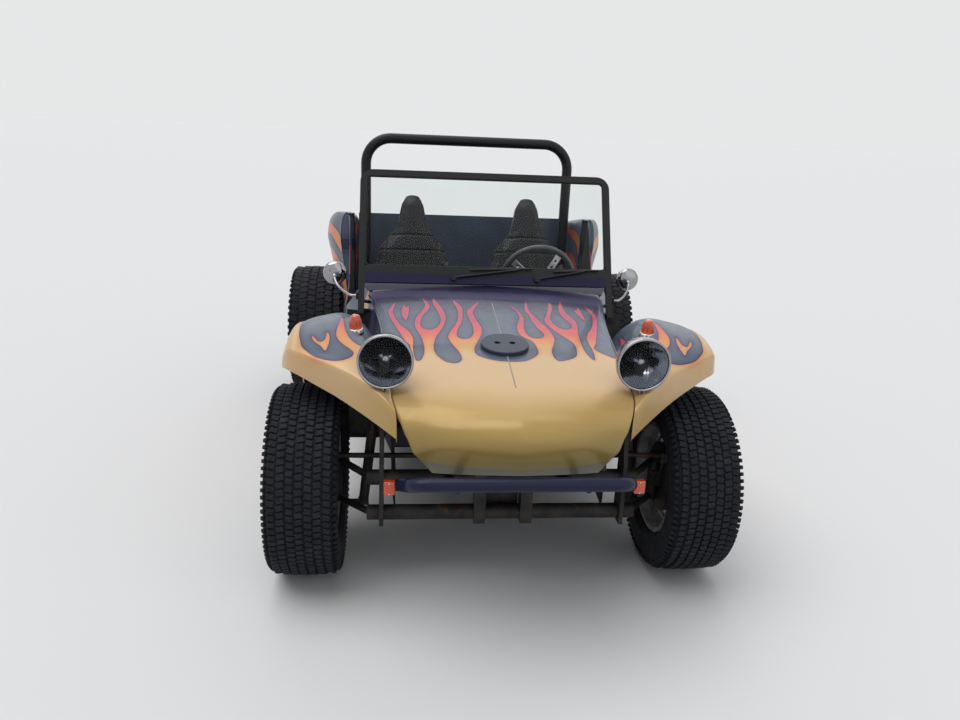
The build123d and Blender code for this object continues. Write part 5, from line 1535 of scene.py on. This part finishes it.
def make_dash():
    """Instruments, switches and the grab rail on the dash."""
    bright, dark = chrome(), lamp_back()
    parts = gauge(290, DASH_Z, 52, 13) + gauge(176, DASH_Z + 6, 28, 7) + gauge(404, DASH_Z + 6, 28, 7)
    for x in (60, 20, -20, -60):
        parts.append(turned("switch", [(0, 0), (11, 0), (11, 3), (6, 4), (6, 12), (9, 15), (9, 22), (7, 24),
                                       (0, 24)],
                            at(x, DASH_Y, DASH_Z - 10), (0, 1, 0), dark, steps=24))
    plan = [(-400, 698), (-400, 730), (-392, 740), (-300, 742), (-208, 740), (-200, 730), (-200, 698)]
    rail = rod("rail", [(x, y, RAIL_Z) for x, y in plan], 8, bright)
    ends = [turned("end", [(0, 0), (17, 0), (17, 3), (10, 6), (0, 6)], at(x, DASH_Y, RAIL_Z), (0, 1, 0),
                   bright, steps=28)
            for x in (-400, -200)]
    fitted("dash_instruments", parts)
    fitted("dash_grab_rail", [rail] + ends)


# Footwell mats: ends along the car, inner and outer side, height of the floor, and the ribs' pitch
MAT_ENDS, MAT_SIDES, MAT_Z, RIB_PITCH = (612, 985), (88, 490), 262.5, 20.1
# Kick panels in plan, as x, y of the inner front and the outer rear corner, and their heights
KICK_FRONT, KICK_REAR, KICK_Z = (398, 548), (573, 604), (258, 800)


def make_mats():
    """Ribbed rubber mats in both footwells, and the gear lever's bellows."""
    rubber = grip_rubber()
    for side, sign in (("left", 1), ("right", -1)):
        y, x = np.meshgrid(np.linspace(*MAT_ENDS, 94), np.linspace(*MAT_SIDES, 60), indexing="ij")
        rib = 1.3 * (np.cos((x - MAT_SIDES[0]) * 2 * np.pi / RIB_PITCH) > 0.2)
        from_side = np.minimum(x - MAT_SIDES[0], MAT_SIDES[1] - x)
        from_end = np.minimum(y - MAT_ENDS[0], MAT_ENDS[1] - y)
        z = MAT_Z + np.where(np.minimum(from_side, from_end) < 14, 2.6, rib + 0.4)
        points = np.stack([sign * x, y, z], axis=-1)
        moulded("floor_mat_" + side, points if sign < 0 else points[:, ::-1], rubber, wall=0.003, angle=30)
    ripple = [(46 - 28 * t + 3.2 * math.cos(t * 5 * 2 * math.pi), 2 + 62 * t) for t in np.linspace(0, 1, 41)]
    bellows = turned("bellows", [(0, 0), (50, 0), (50, 3)] + ripple + [(0, 66)], at(0, 880, 395.6),
                     (0, 0.085, 1), rubber, steps=48, angle=60)
    fitted("gear_bellows", [bellows])


def make_kick_panels():
    """Panels that close the tub beside the footwells, with the sill strips along the floor's edge."""
    lining, rubber = raw_laminate(), grip_rubber()
    for side, sign in (("left", 1), ("right", -1)):
        across, z = np.meshgrid(np.linspace(0, 1, 24), np.linspace(*KICK_Z, 40), indexing="ij")
        x = KICK_FRONT[0] + (KICK_REAR[0] - KICK_FRONT[0]) * across + 6 * np.sin(across * np.pi)
        y = KICK_FRONT[1] + (KICK_REAR[1] - KICK_FRONT[1]) * across
        points = np.stack([sign * x, y, z], axis=-1)
        moulded("kick_panel_" + side, points if sign > 0 else points[::-1], lining, wall=0.004)
    strip = block("strip", (566, 1082, 260), (26, 950, 5), rubber, 1.5)
    corner = block("corner", (486, 578, 260), (186, 76, 5), lining, 1.5)
    fitted("sill_strips", both_sides([strip, corner]))


CREASE_PLACES = range(-300, 440, 20)


def make_hood_crease():
    """Raised seam along the hood's middle, laid on its surface; its pale colour is a painted highlight."""
    skin = bpy.data.objects["hood_skin"]
    route = []
    for y in CREASE_PLACES:
        hit, place, *_ = skin.ray_cast(at(0, y, 1200), (0, 0, -1))
        if hit:
            route.append((0, y, place.z / MM - 0.9))
    fitted("hood_crease", [rod("crease", route, 2.6, crease_paint())])


# Hoop, deck and windscreen
HOOP_Y, HOOP_TUBE_R = 1824, 27
# Deck behind the load well: where it starts and ends along the car, its height there and its fall
DECK_START, DECK_END, DECK_Z, DECK_FALL = 1950, 2300, 1046, 120
# Lower end of the windscreen as y, z, its lean, and the rounding of its glass
SCREEN_FOOT, SCREEN_RAKE, GLASS_CORNER = (650, 961), math.radians(25), 38


def make_hoop_feet():
    """Bolted plates under the hoop's legs, with a weld round each leg."""
    black, steel = black_paint(), pulley_steel()
    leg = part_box("roll_bar")[1][0] / MM - HOOP_TUBE_R
    parts = [block("plate", (leg - 8, HOOP_Y, 628.8), (86, 100, 5), black, 2)]
    for x in (-32, 20):
        for y in (-38, 38):
            parts.append(hex_bolt((leg - 8 + x, HOOP_Y + y, 631), (0, 0, 1), steel, 7, 6))
    parts.append(turned("weld", [(26.5, 0), (33, 0), (31, 3), (27, 7)], at(leg, HOOP_Y, 631), (0, 0, 1),
                        black, steps=40))
    fitted("hoop_feet", both_sides(parts))


def make_deck_trim():
    """Pressed ribs, latches and bolts on the deck behind the load well."""
    paint, steel, bright = slate_paint(), pulley_steel(), chrome()
    slope = math.degrees(math.atan2(DECK_FALL, DECK_END - DECK_START))
    parts, metal = [], []

    def deck_z(y):
        return DECK_Z - DECK_FALL * (y - DECK_START) / (DECK_END - DECK_START)

    for x in range(-480, 481, 120):
        parts.append(block("rib", (x, 2130, deck_z(2130) + 1.2), (34, 250, 7), paint, 3.2,
                           turn=(-slope, 0, 0), segments=3))
    for x in (-560, -280, 0, 280, 560):
        metal.append(hex_bolt((x, 1972, deck_z(1972)), (0, math.sin(math.radians(slope)), 1), steel, 5, 4))
        metal.append(hex_bolt((x, 2311, 850), (0, 1, 0.18), steel, 5, 4))
    for x in (-430, 430):
        metal.append(block("latch", (x, 2318, 868), (34, 8, 52), bright, 2, turn=(10, 0, 0)))
        metal.append(block("hook", (x, 2325, 846), (18, 7, 26), bright, 2.5, turn=(10, 0, 0)))
    fitted("deck_ribs", parts)
    fitted("deck_fasteners", metal)


def make_screen_rubber():
    """Rubber bead between the windscreen's frame and its glass."""
    low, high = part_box("windscreen_glass")
    foot_y, foot_z = SCREEN_FOOT
    sine, cosine = math.sin(SCREEN_RAKE), math.cos(SCREEN_RAKE)
    half = high[0] / MM - 1
    bottom, top = (low[2] / MM - foot_z) / cosine + 2, (high[2] / MM - foot_z) / cosine - 2
    outline = []
    for u, v in ((half, top), (-half, top), (-half, bottom), (half, bottom)):
        inward = (-math.copysign(GLASS_CORNER, u), -math.copysign(GLASS_CORNER, v - (top + bottom) / 2))
        ends = [(u + inward[0], v), (u, v + inward[1])]
        outline += [ends[1], (u, v), ends[0]] if u * inward[1] < 0 else [ends[0], (u, v), ends[1]]
    beads = []
    for offset in (-4.5, 4.5):
        points = [(u, foot_y + v * sine + offset * cosine, foot_z + v * cosine - offset * sine)
                  for u, v in outline]
        beads.append(rod("bead", points, 4, lamp_back(), closed=True))
    fitted("screen_rubber", beads)


def dress_cad():
    """Every CAD node gets a material, those that a piece replaces as well."""
    painted = ["rear_deck", "hood", "front_fender_left", "front_fender_right", "tub_side_left",
               "tub_side_right", "rear_quarter_left", "rear_quarter_right"]
    dress(painted, slate_paint())
    dress(["cowl"], violet_paint())
    dress(["fuel_cap"], cap_paint())
    dress(["roll_bar", "wipers", "levers"], black_paint())
    dress(["windscreen_frame"], screen_paint())
    dress(["floor_pan", "front_beam", "front_arms", "front_shocks", "knuckle_left", "knuckle_right",
           "track_rods", "pitman_arm", "steering_column", "rear_suspension", "fan_shroud"], chassis_black())
    dress(["exhaust"], rusty_steel())
    dress(["transaxle", "engine_case", "cylinder_heads"], cast_alloy())
    dress(["headlamp_bowls", "mirrors"], chrome())
    dress(["steering_wheel"], bare_metal("polished_spokes", (0.6, 0.6, 0.62), (0.3, 0.3, 0.3)))
    dress(["headlamp_lenses"], lamp_glass())
    dress(["windscreen_glass"], clear_glass("screen_glass", (0.93, 0.98, 0.96)))
    dress(["amber_lamps"], amber_glass())
    dress(["tail_lamps"], red_glass())
    dress(["front_bumper"], bumper_paint())
    dress(["seat_left", "seat_right"], seat_vinyl())
    for place in ("front_left", "front_right", "rear_left", "rear_right"):
        dress(["tyre_" + place], tyre_rubber())
        dress(["rim_" + place], wheel_steel())
        dress(["drum_" + place], bare_metal("drum_iron", (0.09, 0.075, 0.065), (0.10, 0.04, 0.02)))


def let_light_through():
    """Lamps light what lies behind glass straight, which lessens the speckle seen through it."""
    for name in ("windscreen_glass", "headlamp_lenses", "headlamp_glasses", "amber_lenses",
                 "tail_lamp_glasses"):
        piece = bpy.data.objects[name]
        piece.visible_shadow = piece.visible_diffuse = piece.visible_glossy = False


# Camera, floor and light
CAMERA_PLACE = (-0.354, -2.527 + FRONT_AXLE_Y, 1.535)
CAMERA_YAW, CAMERA_PITCH, CAMERA_ROLL = 6.13, 16.74, 2.47
LENS_PIXELS, PHOTO_WIDTH = 772.0, 960.0
PALE = (0.795, 0.80, 0.805)


def add_camera():
    """Camera at the photograph's place and turn."""
    yaw, pitch, roll = (math.radians(a) for a in (CAMERA_YAW, CAMERA_PITCH, CAMERA_ROLL))
    ahead = Vector((math.sin(yaw) * math.cos(pitch), math.cos(yaw) * math.cos(pitch), -math.sin(pitch)))
    right = Vector((math.cos(yaw), -math.sin(yaw), 0))
    down = ahead.cross(right)
    across = math.cos(roll) * right - math.sin(roll) * down
    drop = math.sin(roll) * right + math.cos(roll) * down
    turn = Matrix((across, -drop, -ahead)).transposed()
    data = bpy.data.cameras.new("photo_camera")
    data.sensor_width = 36.0
    data.lens = 36.0 * LENS_PIXELS / PHOTO_WIDTH
    camera = bpy.data.objects.new("photo_camera", data)
    camera.matrix_world = Matrix.Translation(CAMERA_PLACE) @ turn.to_4x4()
    bpy.context.scene.collection.objects.link(camera)
    bpy.context.scene.camera = camera


def add_floor():
    """Pale floor out to the horizon."""
    bpy.ops.mesh.primitive_plane_add(size=400, location=(0, 0, 0))
    floor = named("floor", Shader("floor_pale", (0.80, 0.80, 0.80), 0.95))


def add_light():
    """Soft, even studio light: two wide suns and a pale surrounding, seen as the backdrop."""
    world = bpy.data.worlds.new("studio")
    bpy.context.scene.world = world
    world.use_nodes = True
    nodes, links = world.node_tree.nodes, world.node_tree.links
    path = nodes.new("ShaderNodeLightPath")
    sky = nodes["Background"]
    sky.inputs["Color"].default_value = (0.80, 0.82, 0.85, 1)
    sky.inputs["Strength"].default_value = 0.42
    pale = nodes.new("ShaderNodeBackground")
    pale.inputs["Color"].default_value = (*PALE, 1)
    pale.inputs["Strength"].default_value = 1.0
    seen = path.outputs["Is Camera Ray"]
    for ray in ("Is Glossy Ray", "Is Transmission Ray"):
        either = nodes.new("ShaderNodeMath")
        either.operation = "MAXIMUM"
        links.new(seen, either.inputs[0])
        links.new(path.outputs[ray], either.inputs[1])
        seen = either.outputs[0]
    mixer = nodes.new("ShaderNodeMixShader")
    links.new(seen, mixer.inputs["Fac"])
    links.new(sky.outputs[0], mixer.inputs[1])
    links.new(pale.outputs[0], mixer.inputs[2])
    links.new(mixer.outputs[0], nodes["World Output"].inputs["Surface"])
    lamps = [
        # name, direction it comes from, strength, width in degrees
        ("key_light", (-1.4, -0.2, 4.0), 1.5, 55),
        ("fill_light", (2.4, -3.0, 2.6), 0.35, 70),
        ("back_light", (0.6, 4.0, 3.4), 0.5, 60),
    ]
    for name, place, strength, width in lamps:
        data = bpy.data.lights.new(name, "SUN")
        data.energy = strength
        data.angle = math.radians(width)
        lamp = bpy.data.objects.new(name, data)
        lamp.location = place
        lamp.rotation_euler = (-Vector(place)).to_track_quat("-Z", "Y").to_euler()
        bpy.context.scene.collection.objects.link(lamp)


dress_cad()
make_skins()
make_headlamps()
make_amber_lamps()
make_tail_lamps()
make_mirrors()
make_tyres()
make_steering_grip()
make_seats()
make_belt_drive()
make_fan_cover()
make_carburettor()
make_muffler_trim()
make_dash()
make_mats()
make_kick_panels()
make_hood_crease()
make_hoop_feet()
make_screen_rubber()
make_deck_trim()
let_light_through()
add_floor()
add_light()
add_camera()
bpy.context.scene.view_settings.view_transform = "Standard"
